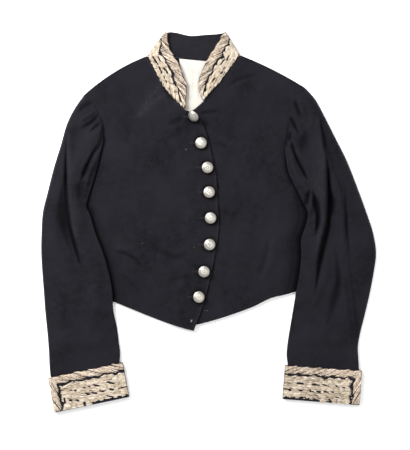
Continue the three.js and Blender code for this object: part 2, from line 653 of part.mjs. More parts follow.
function buildCollarEmbroidery(name, rows, slope) {
  const { at, width, last } = collarBand(rows);
  const rowLength = 15; // about how far apart the collar's rows are
  const borderEnd = (s) => Math.min(BORDER_COLLAR + waver(s * rowLength), width(s) - EDGE_MARGIN);
  const edge = (s) => EDGE_MARGIN + scallop(s * rowLength) * smooth(0, 1, s);
  const onCollar = (p) => slope(p) + COLLAR_WALL + GAP;
  const border = plate(strip(at, 0.5, last, 44, edge, borderEnd), [], EMBROIDERY);
  addPiece(`${name}_border`, drapeOn(border, onCollar), goldThread);

  const fieldTop = (s) => borderEnd(s) + BARE_LINE;
  const fieldEnd = (s) => Math.max(fieldTop(s) + 0.4, width(s) - EDGE_MARGIN);
  const depthAt = (s, share) => fieldTop(s) + (fieldEnd(s) - fieldTop(s)) * share;
  const slit = ({ row, share, length }) => {
    const half = 0.8;
    return [
      at(row, depthAt(row, share) - half),
      at(row + length, depthAt(row + length, share) - half),
      at(row + length, depthAt(row + length, share) + half),
      at(row, depthAt(row, share) + half),
    ];
  };
  const slits = [
    { row: 3.0, share: 0.5, length: 0.4 },
    { row: 3.7, share: 0.35, length: 0.55 },
    { row: 4.2, share: 0.7, length: 0.6 },
    { row: 4.9, share: 0.4, length: 0.6 },
    { row: 5.6, share: 0.72, length: 0.7 },
    { row: 6.2, share: 0.38, length: 0.5 },
    { row: 6.9, share: 0.66, length: 0.5 },
  ];
  const field = plate(strip(at, 1.9, last, 30, fieldTop, fieldEnd), slits.map(slit), EMBROIDERY);
  addPiece(`${name}_field`, drapeOn(field, onCollar), goldThread);
}

// Embroidery on a cuff: a border along the top edge and down the outer side, and a field.
function buildCuffEmbroidery(name, cuff) {
  const span = Math.hypot(cuff.innerTop[0] - cuff.outerTop[0], cuff.innerTop[1] - cuff.outerTop[1]);
  const drop = Math.hypot(cuff.outerEnd[0] - cuff.outerTop[0], cuff.outerEnd[1] - cuff.outerTop[1]);
  const at = (across, down) => cuffPoint(cuff, across / span, down / drop);
  const margin = EDGE_MARGIN;
  const [far, bottom] = [span - margin, drop - margin];
  const topLine = steps(far, BORDER_CUFF, 26).map((x) => at(x, BORDER_CUFF + waver(x)));
  const sideLine = steps(BORDER_CUFF + 4, bottom, 9).map((y) => at(BORDER_CUFF + waver(y), y));
  const topEdge = steps(margin, far, 32).map((x) => at(x, margin + scallop(x)));
  const border = plate([...topEdge, ...topLine, ...sideLine, at(margin, bottom)], [], EMBROIDERY);
  border.translate(0, 0, CUFF_HEIGHT + GAP);
  addPiece(`${name}_border`, border, goldThread);

  const start = BORDER_CUFF + BARE_LINE;
  const fieldTop = steps(far, start + 2, 26).map((x) => at(x, start + waver(x)));
  const fieldSide = steps(start + 4, bottom, 9).map((y) => at(start + waver(y), y));
  const hemLine = [[0.5, 0], [0.54, CUFF_HEM_MARGIN], [1, CUFF_HEM_MARGIN]].map(([share, rise]) => (
    at(Math.min(far, share * span), bottom - rise)
  ));
  const slitRows = [
    { down: 25, first: 30, pitch: 17, length: 5 },
    { down: 35, first: 24, pitch: 15, length: 6 },
    { down: 47, first: 31, pitch: 16, length: 7 },
    { down: 57, first: 26, pitch: 19, length: 5 },
  ];
  const slits = slitRows.flatMap(({ down, first, pitch, length }) => {
    const count = Math.floor((span - first - 12) / pitch);
    return steps(first, first + pitch * count, count).map((x, i) => {
      const y = down + 1.2 * Math.sin(2.4 * i + down);
      return [at(x, y), at(x + length, y - 0.6), at(x + length, y + 1), at(x, y + 1.6)];
    });
  });
  const field = plate([...fieldTop, ...fieldSide, ...hemLine], slits, EMBROIDERY);
  field.translate(0, 0, CUFF_HEIGHT + GAP);
  addPiece(`${name}_field`, field, goldThread);
}

// A domed metal button on its shank, standing on the right front.
function buttonGeometry() {
  const { radius, dome, rim, shankRadius, shank, sides } = BUTTON;
  const domeArc = steps(0, 1, 4).map((t) => new THREE.Vector2(
    radius * Math.cos((t * Math.PI) / 2),
    shank + rim + dome * Math.sin((t * Math.PI) / 2),
  ));
  domeArc[domeArc.length - 1].x = 0;
  const profile = [
    new THREE.Vector2(0, 0), new THREE.Vector2(shankRadius, 0), new THREE.Vector2(shankRadius, shank),
    new THREE.Vector2(radius * 0.94, shank), ...domeArc,
  ];
  const geometry = new THREE.LatheGeometry(profile, sides);
  geometry.rotateX(Math.PI / 2);
  return geometry;
}

function buildButtons() {
  BUTTONS.forEach(({ at, tilt, toward }, i) => {
    const geometry = buttonGeometry();
    const direction = THREE.MathUtils.degToRad(toward);
    const hinge = new THREE.Vector3(-Math.sin(direction), Math.cos(direction), 0);
    const middle = BUTTON.shank + BUTTON.rim;
    geometry.translate(0, 0, -middle);
    geometry.applyMatrix4(new THREE.Matrix4().makeRotationAxis(hinge, THREE.MathUtils.degToRad(tilt)));
    geometry.computeBoundingBox();
    const reach = tilt > 20 ? BUTTON.radius : BUTTON.shankRadius + 1;
    const around = steps(0, 2 * Math.PI, 8).map((angle) => (
      frontRightUnderside([at[0] + reach * Math.cos(angle), at[1] + reach * Math.sin(angle)])
    ));
    const seat = Math.max(...around, frontRightUnderside(at)) + FRONT_WALL + GAP;
    const mesh = addPiece(`button_${i + 1}`, geometry, silver);
    mesh.position.set(at[0], at[1], seat - geometry.boundingBox.min.z);
  });
}

buildBack();
buildFronts();
buildSleeve('sleeve_right', SLEEVE_RIGHT_ROWS, frontRightGrid, SLEEVE_RIGHT_FOLDS);
buildSleeve('sleeve_left', SLEEVE_LEFT_ROWS, frontLeftGrid, SLEEVE_LEFT_FOLDS);
buildCuff('cuff_right', CUFF_RIGHT);
buildCuff('cuff_left', CUFF_LEFT);
buildCollar();
buildCollarEmbroidery('collar_right', COLLAR_RIGHT_ROWS, collarSlope.right);
buildCollarEmbroidery('collar_left', COLLAR_LEFT_ROWS, collarSlope.left);
buildCuffEmbroidery('cuff_right', CUFF_RIGHT);
buildCuffEmbroidery('cuff_left', CUFF_LEFT);
buildButtons();

export default coatee;
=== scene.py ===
"""Looks of a buttoned military coatee laid flat on its back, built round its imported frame.

Lengths are millimetres in the frame's axes unless a name says otherwise, and become metres when
a mesh is made. +X is the viewer's right, +Y runs up to the collar and +Z up from the surface.
"right" and "left" in names are the wearer's, so the right side is the viewer's left.
"""

import logging
import math
from collections.abc import Callable
from dataclasses import dataclass, field
from enum import Enum

import bpy
import numpy as np
from mathutils import Matrix, Vector


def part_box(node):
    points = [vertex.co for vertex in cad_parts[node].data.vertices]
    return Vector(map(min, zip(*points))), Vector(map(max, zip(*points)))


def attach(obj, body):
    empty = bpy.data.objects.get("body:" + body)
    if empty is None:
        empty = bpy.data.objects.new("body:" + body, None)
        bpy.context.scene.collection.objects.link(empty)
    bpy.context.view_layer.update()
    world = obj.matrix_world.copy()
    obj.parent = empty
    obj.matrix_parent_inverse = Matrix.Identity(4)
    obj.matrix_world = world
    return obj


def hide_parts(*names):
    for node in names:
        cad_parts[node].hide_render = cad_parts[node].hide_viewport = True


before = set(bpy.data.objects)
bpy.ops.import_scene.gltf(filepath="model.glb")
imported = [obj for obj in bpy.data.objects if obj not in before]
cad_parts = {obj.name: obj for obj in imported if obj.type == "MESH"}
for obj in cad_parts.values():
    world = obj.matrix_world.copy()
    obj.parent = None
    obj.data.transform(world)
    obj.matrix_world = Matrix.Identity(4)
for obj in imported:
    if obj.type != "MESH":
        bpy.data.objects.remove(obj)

LOG = logging.getLogger("coatee")
MM = 0.001
ROOT = "root"

WALL = 2.0
FRONT_WALL = 2.6
LINING_WALL = 1.0
COLLAR_WALL = 2.6
CUFF_WALL = 1.6
GAP = 0.3
FRONT_BASE = WALL + GAP
LINING_LIFT = 1.6
OVERLAP_STEP = FRONT_WALL + GAP
OVER_BODY = FRONT_BASE + FRONT_WALL + GAP
IN_CUFF = CUFF_WALL + GAP
CUFF_HEIGHT = IN_CUFF + WALL + GAP + WALL + GAP + CUFF_WALL
COLLAR_FRONT_BASE = 4.0
COLLAR_RISE = 0.045
UNDERARM_ROW = 5
CUFF_ROW = 14
LAST_ROW = 16
CLOSURE_ROW = 6
BUTTON_SHADE = 15.5
SAG_PEAK = 4 / 27
POINTS_PER_ROW = 8
UNDERARM_POINT = UNDERARM_ROW * POINTS_PER_ROW
SATIN_POINTS = 21
THREAD_STEP = 1.1

Array = np.ndarray
Material = bpy.types.Material
Socket = bpy.types.NodeSocket
Points = tuple[tuple[float, float], ...]

FRONT_RIGHT_SIDE: Points = (
    (-249, 252.8), (-234, 236.8), (-222, 216.8), (-214.4, 194.8), (-213, 176.8), (-212.4, 164.8),
    (-223, 150.8), (-237, 130.8), (-247, 102.8), (-253, 66.8), (-255, 30.8), (-249, -5.2),
    (-239, -37.2), (-229, -69.2), (-220, -101.2), (-211, -129.2), (-203, -155.2),
)
FRONT_RIGHT_EDGE: Points = (
    (-123, 330.8), (-114.2, 313.6), (-100, 285.8), (-81, 256.8), (-61, 235.8), (-47, 223.2),
    (-35.8, 218.8), (-18.4, 204.8), (-3.4, 171.8), (6, 132.8), (15, 88.8), (17.6, 42.8),
    (20.2, -13.2), (14, -57.2), (3, -111.2), (-9, -159.2), (-30, -218.2),
)
FRONT_LEFT_SIDE: Points = (
    (193, 266.8), (176, 249.8), (166, 228.8), (160, 202.8), (156.6, 172.8), (154.2, 152.8),
    (163, 136.8), (175, 120.8), (187, 98.8), (195, 70.8), (200, 42.8), (201, 14.8),
    (198, -17.2), (194, -53.2), (190, -89.2), (185, -117.2), (181, -137.2),
)
FRONT_LEFT_EDGE: Points = (
    (64, 331.8), (50.2, 315.8), (31, 289.8), (9, 262.8), (-10.4, 240.8), (-27, 225.8),
    (-40, 214.8), (-42, 198.8), (-35, 166.8), (-25, 128.8), (-16, 86.8), (-13, 42.8),
    (-11, -13.2), (-17, -61.2), (-26, -111.2), (-36, -163.2), (-40, -209.2),
)
SLEEVE_RIGHT_OUTER: Points = (
    (-249, 252.8), (-267, 226.8), (-283, 194.8), (-295, 152.8), (-309, 106.8), (-321, 58.8),
    (-331, 18.8), (-334, -21.2), (-335, -61.2), (-333, -101.2), (-330, -141.2), (-327, -181.2),
    (-323, -221.2), (-320, -257.2), (-318.4, -289.2), (-315.4, -315.2), (-303.5, -369.2),
)
SLEEVE_RIGHT_INNER: Points = (
    (-212.4, 164.8), (-214.5, 146.8), (-221, 116.8), (-230, 82.8), (-238, 56.8), (-244.6, 30.8),
    (-237, 12.8), (-226, -23.2), (-211, -61.2), (-199, -101.2), (-192, -139.2), (-190, -177.2),
    (-183, -211.2), (-179, -241.2), (-176.6, -261.2), (-177.4, -286.4), (-166, -340.2),
)
SLEEVE_LEFT_OUTER: Points = (
    (193, 266.8), (211, 246.8), (231, 210.8), (251, 170.8), (275, 122.8), (297, 66.8),
    (317, 12.8), (329, -23.2), (335, -63.2), (330, -103.2), (322, -145.2), (312, -187.2),
    (303, -223.2), (298.6, -249.2), (299.4, -273.2), (300.5, -300.2), (297, -358.2),
)
SLEEVE_LEFT_INNER: Points = (
    (154.2, 152.8), (155, 126.8), (159, 98.8), (173, 68.8), (187, 40.8), (198, 16.8),
    (193, -9.2), (184, -35.2), (184, -69.2), (180, -107.2), (173, -143.2), (167, -181.2),
    (161, -217.2), (157, -243.2), (155, -266.2), (157.4, -290.4), (153, -348.4),
)
COLLAR_RIGHT_NECK: Points = (
    (-49, 224.8), (-59, 233.8), (-70, 244.8), (-81, 256.8), (-91, 269.8), (-103.4, 292),
    (-114.2, 313.6), (-119.8, 324.8), (-119.6, 330.6),
)
COLLAR_RIGHT_TOP: Points = (
    (-46, 227.4), (-45.4, 245.8), (-44, 260.8), (-45.2, 274.8), (-51, 290.8), (-58.4, 312.8),
    (-72.4, 334.8), (-80.2, 352.2), (-83, 378.8),
)
COLLAR_LEFT_NECK: Points = (
    (-11, 240.4), (-4, 248.8), (5, 258.8), (19.8, 274.8), (36, 296), (50.2, 315.8),
    (55.6, 323.2), (59.6, 331.2),
)
COLLAR_LEFT_TOP: Points = (
    (-15, 247.8), (-20.4, 265.8), (-18.8, 286.8), (-10, 307.8), (-2.6, 324.8), (9.8, 343.8),
    (21.8, 363), (30.6, 377.6),
)
COLLAR_BACK_NECK: Points = (
    (-109, 328.8), (-93, 328), (-77, 328), (-63, 328), (-49, 325.2), (-33, 322), (-17, 322.2),
    (-1, 322.4), (15, 323.2), (31, 325.2), (47, 328.4),
)
COLLAR_BACK_TOP: Points = (
    (-77.2, 379), (-72, 378.6), (-64, 377.4), (-56, 375.6), (-47, 373.2), (-34, 371.2),
    (-20, 372.2), (-6, 373.4), (6, 374.2), (16, 374.8), (24, 376),
)
LINING_LEFT_EDGE: Points = (
    (-59, 325.4), (-57, 310.8), (-51, 282.8), (-49.4, 258.8), (-51.4, 234.8), (-55, 226.8),
    (-47, 212.8),
)
LINING_RIGHT_EDGE: Points = (
    (-1, 319.8), (3, 310.8), (-5, 292.8), (-11, 270.8), (-9, 252.8), (-5, 234.8), (-17, 212.8),
)


def smooth(low: float, high: float, value: Array) -> Array:
    """Returns a soft step that is 0 below low and 1 above high."""
    t = np.clip((value - low) / (high - low), 0, 1)
    return t * t * (3 - 2 * t)


def row_curve(points: Points, at: Array) -> Array:
    """Reads a smooth curve through a table at row numbers that may be fractions.

    Args:
        points: one column of a table, a point for each row.
        at: row numbers, from 0 to the last row.

    Returns:
        The curve's points, one for each number.
    """
    table = np.asarray(points, float)
    table = np.vstack([2 * table[0] - table[1], table, 2 * table[-1] - table[-2]])
    row = np.clip(np.floor(at).astype(int), 0, len(points) - 2)
    t = (np.asarray(at) - row)[:, None]
    p0, p1, p2, p3 = (table[row + k] for k in range(4))
    d0, d1, d2 = (
        np.sqrt(np.linalg.norm(b - a, axis=1))[:, None] for a, b in ((p0, p1), (p1, p2), (p2, p3))
    )
    leave = ((p1 - p0) / d0 - (p2 - p0) / (d0 + d1) + (p2 - p1) / d1) * d1
    arrive = ((p2 - p1) / d1 - (p3 - p1) / (d1 + d2) + (p3 - p2) / d2) * d1
    cubic = 2 * p1 - 2 * p2 + leave + arrive
    square = -3 * p1 + 3 * p2 - 2 * leave - arrive
    return ((cubic * t + square) * t + leave) * t + p1


def falloff(distance: Array, width: float | Array, power: float = 2.0) -> Array:
    """Returns a share that is 1 at no distance and dies away over a width."""
    return np.exp(-((distance / width) ** power))


def run_lengths(line: Array) -> Array:
    """Returns how long a line of points is up to each of them."""
    steps = np.linalg.norm(np.diff(line, axis=0), axis=1)
    return np.concatenate([[0], np.cumsum(steps)])


def at_lengths(line: Array, lengths: Array) -> Array:
    """Returns plan points at lengths along a line of points."""
    gone = run_lengths(line)
    return np.stack([np.interp(lengths, gone, line[:, k]) for k in (0, 1)], axis=1)


def at_shares(line: Array, shares: Array) -> Array:
    """Returns plan points at shares of a line's length."""
    return at_lengths(line, shares * run_lengths(line)[-1])


def mix(a: Array, b: Array, t: Array) -> Array:
    """Returns points between two rows of points, for each share of the way."""
    return a[:, None, :] + (b - a)[:, None, :] * t[None, :, None]


def edge_stations(length: float, count: int, rim: float) -> Array:
    """Spreads shares of a length evenly, with a few more close to both ends for a round rim.

    Args:
        length: the length that is shared out.
        count: how many shares lie between the rims.
        rim: the rim's radius.

    Returns:
        Shares from 0 to 1.
    """
    turn = rim * (1 - np.cos(np.radians([0, 25, 50, 72])))
    inner = np.linspace(rim, length - rim, count)
    return np.concatenate([turn, inner, length - turn[::-1]]) / length


def along_rows(curve: Array, shares: Array) -> Array:
    """Turns shares of a curve's length into shares of its run of points.

    Args:
        curve: closely spaced points.
        shares: shares of the length.

    Returns:
        Shares of the way through the points.
    """
    gone = run_lengths(curve)
    return np.interp(shares * gone[-1], gone, np.linspace(0, 1, len(curve)))


def to_polyline(points: Array, line: Array) -> tuple[Array, Array, Array]:
    """Measures plan points against a line of points.

    Args:
        points: plan points, (n, 2).
        line: the line's corners, (m, 2).

    Returns:
        The distance to the line, the share of the way along it, and on which side each point is.
    """
    best = np.full(len(points), np.inf)
    along = np.zeros(len(points))
    side = np.ones(len(points))
    for i, (a, b) in enumerate(zip(line[:-1], line[1:])):
        run = b - a
        t = np.clip((points - a) @ run / max(run @ run, 1e-9), 0, 1)
        off = points - a - t[:, None] * run
        distance = np.hypot(off[:, 0], off[:, 1])
        nearer = distance < best
        best = np.where(nearer, distance, best)
        along = np.where(nearer, (i + t) / (len(line) - 1), along)
        cross = run[0] * off[:, 1] - run[1] * off[:, 0]
        side = np.where(nearer, np.where(cross >= 0, 1, -1), side)
    return best, along, side


def outside(points: Array, polygon: Array) -> Array:
    """Returns how far each plan point lies outside a polygon, 0 where it is inside."""
    ring = np.vstack([polygon, polygon[:1]])
    away, _, _ = to_polyline(points, ring)
    inside = np.zeros(len(points), bool)
    for a, b in zip(ring[:-1], ring[1:]):
        crosses = (a[1] > points[:, 1]) != (b[1] > points[:, 1])
        rise = b[1] - a[1] if b[1] != a[1] else 1e-9
        inside ^= crosses & (points[:, 0] < a[0] + (points[:, 1] - a[1]) / rise * (b[0] - a[0]))
    return np.where(inside, 0, away)


@dataclass(frozen=True)
class Fold:
    """A fold or crease in cloth: a ridge where its height is positive, a hollow where it isn't.

    left and right are its widths on each side of the path, as one walks along it.
    """

    path: Points
    height: float
    left: float
    right: float
    power: float = 2.0
    fade: float = 0.3

    def lift(self, points: Array) -> Array:
        """Returns the height that the fold adds at plan points."""
        line = row_curve(self.path, np.linspace(0, len(self.path) - 1, 7 * len(self.path)))
        distance, along, side = to_polyline(points, line)
        low, high = line.min(axis=0), line.max(axis=0)
        ends = smooth(0, self.fade, along) * smooth(0, self.fade, 1 - along)
        uneven = 1 + 0.16 * np.sin(7.3 * along + low[0]) + 0.09 * np.sin(17.1 * along + high[1])
        width = np.where(side > 0, self.left, self.right) * (0.4 + 0.6 * ends) * uneven
        return self.height * ends ** 0.8 * falloff(distance, width, self.power)


@dataclass(frozen=True)
class Undulation:
    """The slight unevenness of cloth: a sum of long, low waves with seeded directions."""

    seed: int
    height: float
    shortest: float
    longest: float
    waves: int = 16

    def lift(self, points: Array) -> Array:
        """Returns the height that the waves add at plan points."""
        rng = np.random.default_rng(self.seed)
        total = np.zeros(len(points))
        for _ in range(self.waves):
            angle, phase = rng.uniform(0, 2 * math.pi, 2)
            length = math.exp(rng.uniform(math.log(self.shortest), math.log(self.longest)))
            run = points @ np.array([math.cos(angle), math.sin(angle)])
            total += np.sin(2 * math.pi * run / length + phase) * length / self.longest
        return self.height * total / math.sqrt(self.waves)


def lifted(reliefs: tuple, points: Array) -> Array:
    """Returns the sum of folds and waves at plan points."""
    return sum((relief.lift(points) for relief in reliefs), np.zeros(len(points)))


def painted_crease_shade(folds: tuple[Fold, ...], points: Array, depth: float = 3.4) -> Array:
    """Returns how much painted shade darkens plan points deep in a crease.

    Args:
        folds: the cloth's folds, of which the hollows count.
        points: plan points.
        depth: the depth over which a crease darkens by two thirds.

    Returns:
        Shares from 0 to 1.
    """
    hollows = tuple(fold for fold in folds if fold.height < 0)
    return 1 - np.exp(np.minimum(0, lifted(hollows, points)) / depth)


class Mesher:
    """Turns arrays of points into Blender objects, with their faces outward."""

    @staticmethod
    def make(
        name: str,
        vertices: Array,
        faces: Array,
        material: Material,
        attributes: dict[str, Array] | None = None,
    ) -> bpy.types.Object:
        """Makes a smooth closed mesh.

        Args:
            name: the piece's name.
            vertices: points in millimetres, (n, 3).
            faces: quads as rows of four indices.
            material: the piece's finish.
            attributes: numbers or vectors for each point, by name.

        Returns:
            The new object, linked to the scene.
        """
        a, b, c, d = (vertices[faces[:, k]] for k in range(4))
        volume = np.einsum("ij,ij->i", a, np.cross(b, c) + np.cross(c, d)).sum()
        if volume < 0:
            faces = faces[:, ::-1]
        mesh = bpy.data.meshes.new(name)
        rows = [tuple(dict.fromkeys(face)) for face in faces.tolist()]
        mesh.from_pydata((vertices * MM).tolist(), [], rows)
        for key, values in (attributes or {}).items():
            kind = "FLOAT_VECTOR" if values.ndim == 2 else "FLOAT"
            layer = mesh.attributes.new(key, kind, "POINT")
            layer.data.foreach_set("vector" if values.ndim == 2 else "value", values.ravel())
        mesh.polygons.foreach_set("use_smooth", [True] * len(mesh.polygons))
        mesh.materials.append(material)
        mesh.update()
        made = bpy.data.objects.new(name, mesh)
        bpy.context.scene.collection.objects.link(made)
        return made

    @staticmethod
    def wall(
        middle: Array, thickness: float, wraps: bool = False, rim: float | None = None
    ) -> tuple[Array, Array]:
        """Gives a grid of middle points its thickness, with round rims along its open edges.

        Args:
            middle: the wall's middle surface, (rows, columns, 3).
            thickness: the cloth's thickness.
            wraps: whether the last column joins the first, as on a tube.
            rim: the rim's radius, half the thickness if none is given.

        Returns:
            Vertices and quads of the closed wall.
        """
        rim = rim or thickness / 2
        rows, columns = middle.shape[:2]
        if wraps:
            across = np.roll(middle, -1, 1) - np.roll(middle, 1, 1)
        else:
            across = np.gradient(middle, axis=1)
        normal = np.cross(np.gradient(middle, axis=0), across)
        normal /= np.maximum(np.linalg.norm(normal, axis=2), 1e-9)[..., None]

        def from_edges(axis: int) -> Array:
            """Returns each point's share of the full thickness, by the nearer open edge."""
            step = np.linalg.norm(np.diff(middle, axis=axis), axis=2)
            gone = np.cumsum(step, axis=axis)
            gone = np.insert(gone, 0, 0, axis=axis)
            whole = np.take(gone, [-1], axis=axis)
            depth = np.clip(np.minimum(gone, whole - gone) / rim, 0, 1)
            return np.sqrt(1 - (1 - depth) ** 2)

        full = from_edges(0) if wraps else from_edges(0) * from_edges(1)
        offset = normal * (full * thickness / 2)[..., None]
        vertices = np.vstack([(middle + way * offset).reshape(-1, 3) for way in (1, -1)])
        outer = np.arange(rows * columns).reshape(rows, columns)
        inner = outer + rows * columns
        inner[0], inner[-1] = outer[0], outer[-1]
        if not wraps:
            inner[:, 0], inner[:, -1] = outer[:, 0], outer[:, -1]
        faces = []
        for sheet, flip in ((outer, False), (inner, True)):
            if wraps:
                sheet = np.hstack([sheet, sheet[:, :1]])
            quads = np.stack(
                [sheet[:-1, :-1], sheet[:-1, 1:], sheet[1:, 1:], sheet[1:, :-1]], axis=-1
            ).reshape(-1, 4)
            faces.append(quads[:, ::-1] if flip else quads)
        quads = np.concatenate(faces)
        used, packed = np.unique(quads, return_inverse=True)
        return vertices[used], packed.reshape(quads.shape)


class Shader:
    """A material's node tree, with short calls that add and join its nodes."""

    def __init__(self, name: str, sockets: dict[str, object]) -> None:
        """Starts a material on one Principled shader.

        Args:
            name: the material's name.
            sockets: the shader's own constant values, by socket.
        """
        self.material = bpy.data.materials.new(name)
        self.material.use_nodes = True
        self.tree = self.material.node_tree
        self.tree.nodes.clear()
        self.surface = self.node("BsdfPrincipled", sockets)
        output = self.node("OutputMaterial")
        self.tree.links.new(self.surface.outputs[0], output.inputs[0])
        self.place = self.node("TexCoord").outputs["Object"]

    def node(self, kind: str, sockets: dict | None = None, **settings: object) -> bpy.types.Node:
        """Adds a node.

        Args:
            kind: the shader node's type without its prefix.
            sockets: values or other nodes' outputs, by input name or number.
            settings: the node's own settings.

        Returns:
            The new node.
        """
        made = self.tree.nodes.new("ShaderNode" + kind)
        for key, value in settings.items():
            setattr(made, key, value)
        for key, value in (sockets or {}).items():
            if isinstance(value, Socket):
                self.tree.links.new(value, made.inputs[key])
            else:
                made.inputs[key].default_value = value
        return made

    def noise(self, scale: float, detail: float = 3, rough: float = 0.55) -> Socket:
        """Returns the value of a noise that is laid out in metres on the object."""
        sockets = {"Vector": self.place, "Scale": scale, "Detail": detail, "Roughness": rough}
        return self.node("TexNoise", sockets).outputs[0]

    def reach(
        self, value: Socket, low: float, high: float, to: tuple[float, float] = (0, 1)
    ) -> Socket:
        """Returns a value's range from low to high turned into another range."""
        sockets = {0: value, 1: low, 2: high, 3: to[0], 4: to[1]}
        return self.node("MapRange", sockets).outputs[0]

    def blend(self, share: Socket, first: object, second: object) -> Socket:
        """Returns two colours mixed by a share."""
        return self.node("Mix", {0: share, 6: first, 7: second}, data_type="RGBA").outputs[2]

    def math(self, kind: str, first: object, second: object) -> Socket:
        """Returns the result of one sum."""
        return self.node("Math", {0: first, 1: second}, operation=kind).outputs[0]

    def attribute(self, name: str, output: str = "Fac") -> Socket:
        """Returns a value that is kept on the mesh's points."""
        return self.node("Attribute", attribute_name=name).outputs[output]

    def colour(self, socket: Socket) -> None:
        """Joins a colour to the shader."""
        self.tree.links.new(socket, self.surface.inputs["Base Color"])

    def roughness(self, socket: Socket) -> None:
        """Joins a roughness to the shader."""
        self.tree.links.new(socket, self.surface.inputs["Roughness"])

    def bump(self, layers: tuple[tuple[Socket, float, float], ...]) -> None:
        """Joins layers of relief to the shader.

        Args:
            layers: a height, its strength and its depth in metres, for each layer.
        """
        normal = None
        for height, strength, depth in layers:
            sockets = {"Height": height, "Strength": strength, "Distance": depth}
            if normal is not None:
                sockets["Normal"] = normal
            normal = self.node("Bump", sockets).outputs[0]
        self.tree.links.new(normal, self.surface.inputs["Normal"])


Colour = tuple[float, float, float]


def paint(colour: Colour) -> tuple[float, float, float, float]:
    """Returns a screen colour from 0 to 255 as the linear colour that a shader takes."""
    share = [c / 255 for c in colour]
    linear = [s / 12.92 if s < 0.04045 else ((s + 0.055) / 1.055) ** 2.4 for s in share]
    return (*linear, 1.0)


@dataclass(frozen=True)
class WoolFinish:
    """Fulled navy-black broadcloth: short nap, faint blotches, rubbed places, painted shade and a
    painted rim highlight.
    """

    name: str = "navy_broadcloth"
    deep: Colour = (12, 12, 15)
    pale: Colour = (28, 27, 32)
    faded: Colour = (30, 29, 27)
    # colour of rubbed places; on the sleeves also the painted rim highlight along the outer edge
    rubbed: Colour = (76, 74, 79)
    # painted shade: the colour that creases and shadowed places darken to
    painted_shade_colour: Colour = (2, 2, 3)

    def make(self) -> Material:
        """Returns the material."""
        cloth = Shader(self.name, {
            "Metallic": 0.0, "Specular IOR Level": 0.05, "Sheen Weight": 0.05,
            "Sheen Roughness": 0.3, "Sheen Tint": (0.72, 0.78, 0.95, 1.0),
        })
        # hollow holds painted shade: creases, the sleeve's shadow on the body, shadows round
        # buttons and the closure, and the armhole seam
        hollow = cloth.attribute("hollow")
        cloud = cloth.reach(cloth.noise(11, 4), 0.35, 0.68)
        tone = cloth.blend(cloud, paint(self.deep), paint(self.pale))
        aged = cloth.reach(cloth.noise(27, 5, 0.62), 0.52, 0.74, (0, 0.55))
        tone = cloth.blend(aged, tone, paint(self.faded))
        mottle = cloth.reach(cloth.noise(85, 5, 0.72), 0.4, 0.66, (0, 0.8))
        tone = cloth.blend(mottle, tone, paint(self.pale))
        speckle = cloth.reach(cloth.noise(520, 4, 0.75), 0.42, 0.64, (0, 0.8))
        tone = cloth.blend(speckle, tone, paint(self.pale))
        # wear holds real rubbing, and on the sleeves also a painted rim highlight along the outer
        # edge
        rubbing = cloth.reach(cloth.noise(420, 4, 0.7), 0.4, 0.62)
        worn = cloth.math("MULTIPLY", cloth.attribute("wear"), rubbing)
        tone = cloth.blend(worn, tone, paint(self.rubbed))
        cloth.colour(cloth.blend(hollow, tone, paint(self.painted_shade_colour)))
        cloth.roughness(cloth.reach(cloth.noise(60, 3), 0.3, 0.7, (0.86, 0.97)))
        stretched = cloth.node("Mapping", {"Vector": cloth.place, "Scale": (900, 2600, 900)})
        spun = {"Vector": stretched.outputs[0], "Scale": 1.0, "Detail": 3.0}
        hairs = cloth.node("TexNoise", spun)
        cloth.bump((
            (cloth.noise(150, 5, 0.65), 0.4, 0.0009),
            (hairs.outputs[0], 0.5, 0.00022),
        ))
        return cloth.material


@dataclass(frozen=True)
class LiningFinish:
    """White cotton lining, plain woven, a little yellowed."""

    name: str = "cotton_lining"
    clean: Colour = (190, 186, 179)
    yellowed: Colour = (181, 174, 158)

    def make(self) -> Material:
        """Returns the material."""
        cloth = Shader(self.name, {
            "Specular IOR Level": 0.3, "Sheen Weight": 0.08, "Sheen Roughness": 0.4,
        })
        stain = cloth.reach(cloth.noise(45, 4), 0.5, 0.78, (0, 0.7))
        cloth.colour(cloth.blend(stain, paint(self.clean), paint(self.yellowed)))
        cloth.roughness(cloth.reach(cloth.noise(80, 2), 0.3, 0.7, (0.74, 0.9)))
        weave = {"Vector": cloth.place, "Scale": 720.0, "Distortion": 0.6, "Detail": 1.0}
        threads = [
            cloth.node("TexWave", weave, bands_direction=way).outputs[1] for way in ("X", "Y")
        ]
        cloth.bump((
            (cloth.noise(70, 3), 0.3, 0.0006),
            (cloth.math("MAXIMUM", threads[0], threads[1]), 0.35, 0.00012),
        ))
        return cloth.material


@dataclass(frozen=True)
class MetalThreadFinish:
    """Tarnished gilt thread wound on silk, laid in stitches that each keep their own tone.

    The mesh keeps, at each point, how far it is along its stitch, how far round it, and a tone.
    """

    name: str = "gilt_thread"
    dull: Colour = (112, 91, 75)
    middle: Colour = (206, 187, 166)
    bright: Colour = (238, 229, 215)

    def make(self) -> Material:
        """Returns the material."""
        thread = Shader(self.name, {"Metallic": 0.25, "Specular IOR Level": 0.5})
        kept = thread.attribute("thread", "Vector")
        parts = thread.node("SeparateXYZ", {0: kept})
        tone = parts.outputs[2]
        low = thread.blend(thread.reach(tone, 0.0, 0.5), paint(self.dull), paint(self.middle))
        colour = thread.blend(thread.reach(tone, 0.5, 1.0), low, paint(self.bright))
        tarnish = thread.reach(thread.noise(150, 5, 0.7), 0.5, 0.7, (0, 0.6))
        colour = thread.blend(tarnish, colour, paint(self.dull))
        twist = thread.math("ADD", thread.math("MULTIPLY", parts.outputs[0], 9.0), parts.outputs[1])
        groove = thread.math("SINE", twist, 0.0)
        # painted shade in the twist's grooves darkens the colour towards dull
        shade = thread.reach(groove, -1.0, 0.2, (0.34, 0.0))
        thread.colour(thread.blend(shade, colour, paint(self.dull)))
        thread.roughness(thread.reach(thread.noise(300, 2), 0.3, 0.7, (0.36, 0.6)))
        thread.bump(((groove, 0.5, 0.00012),))
        return thread.material


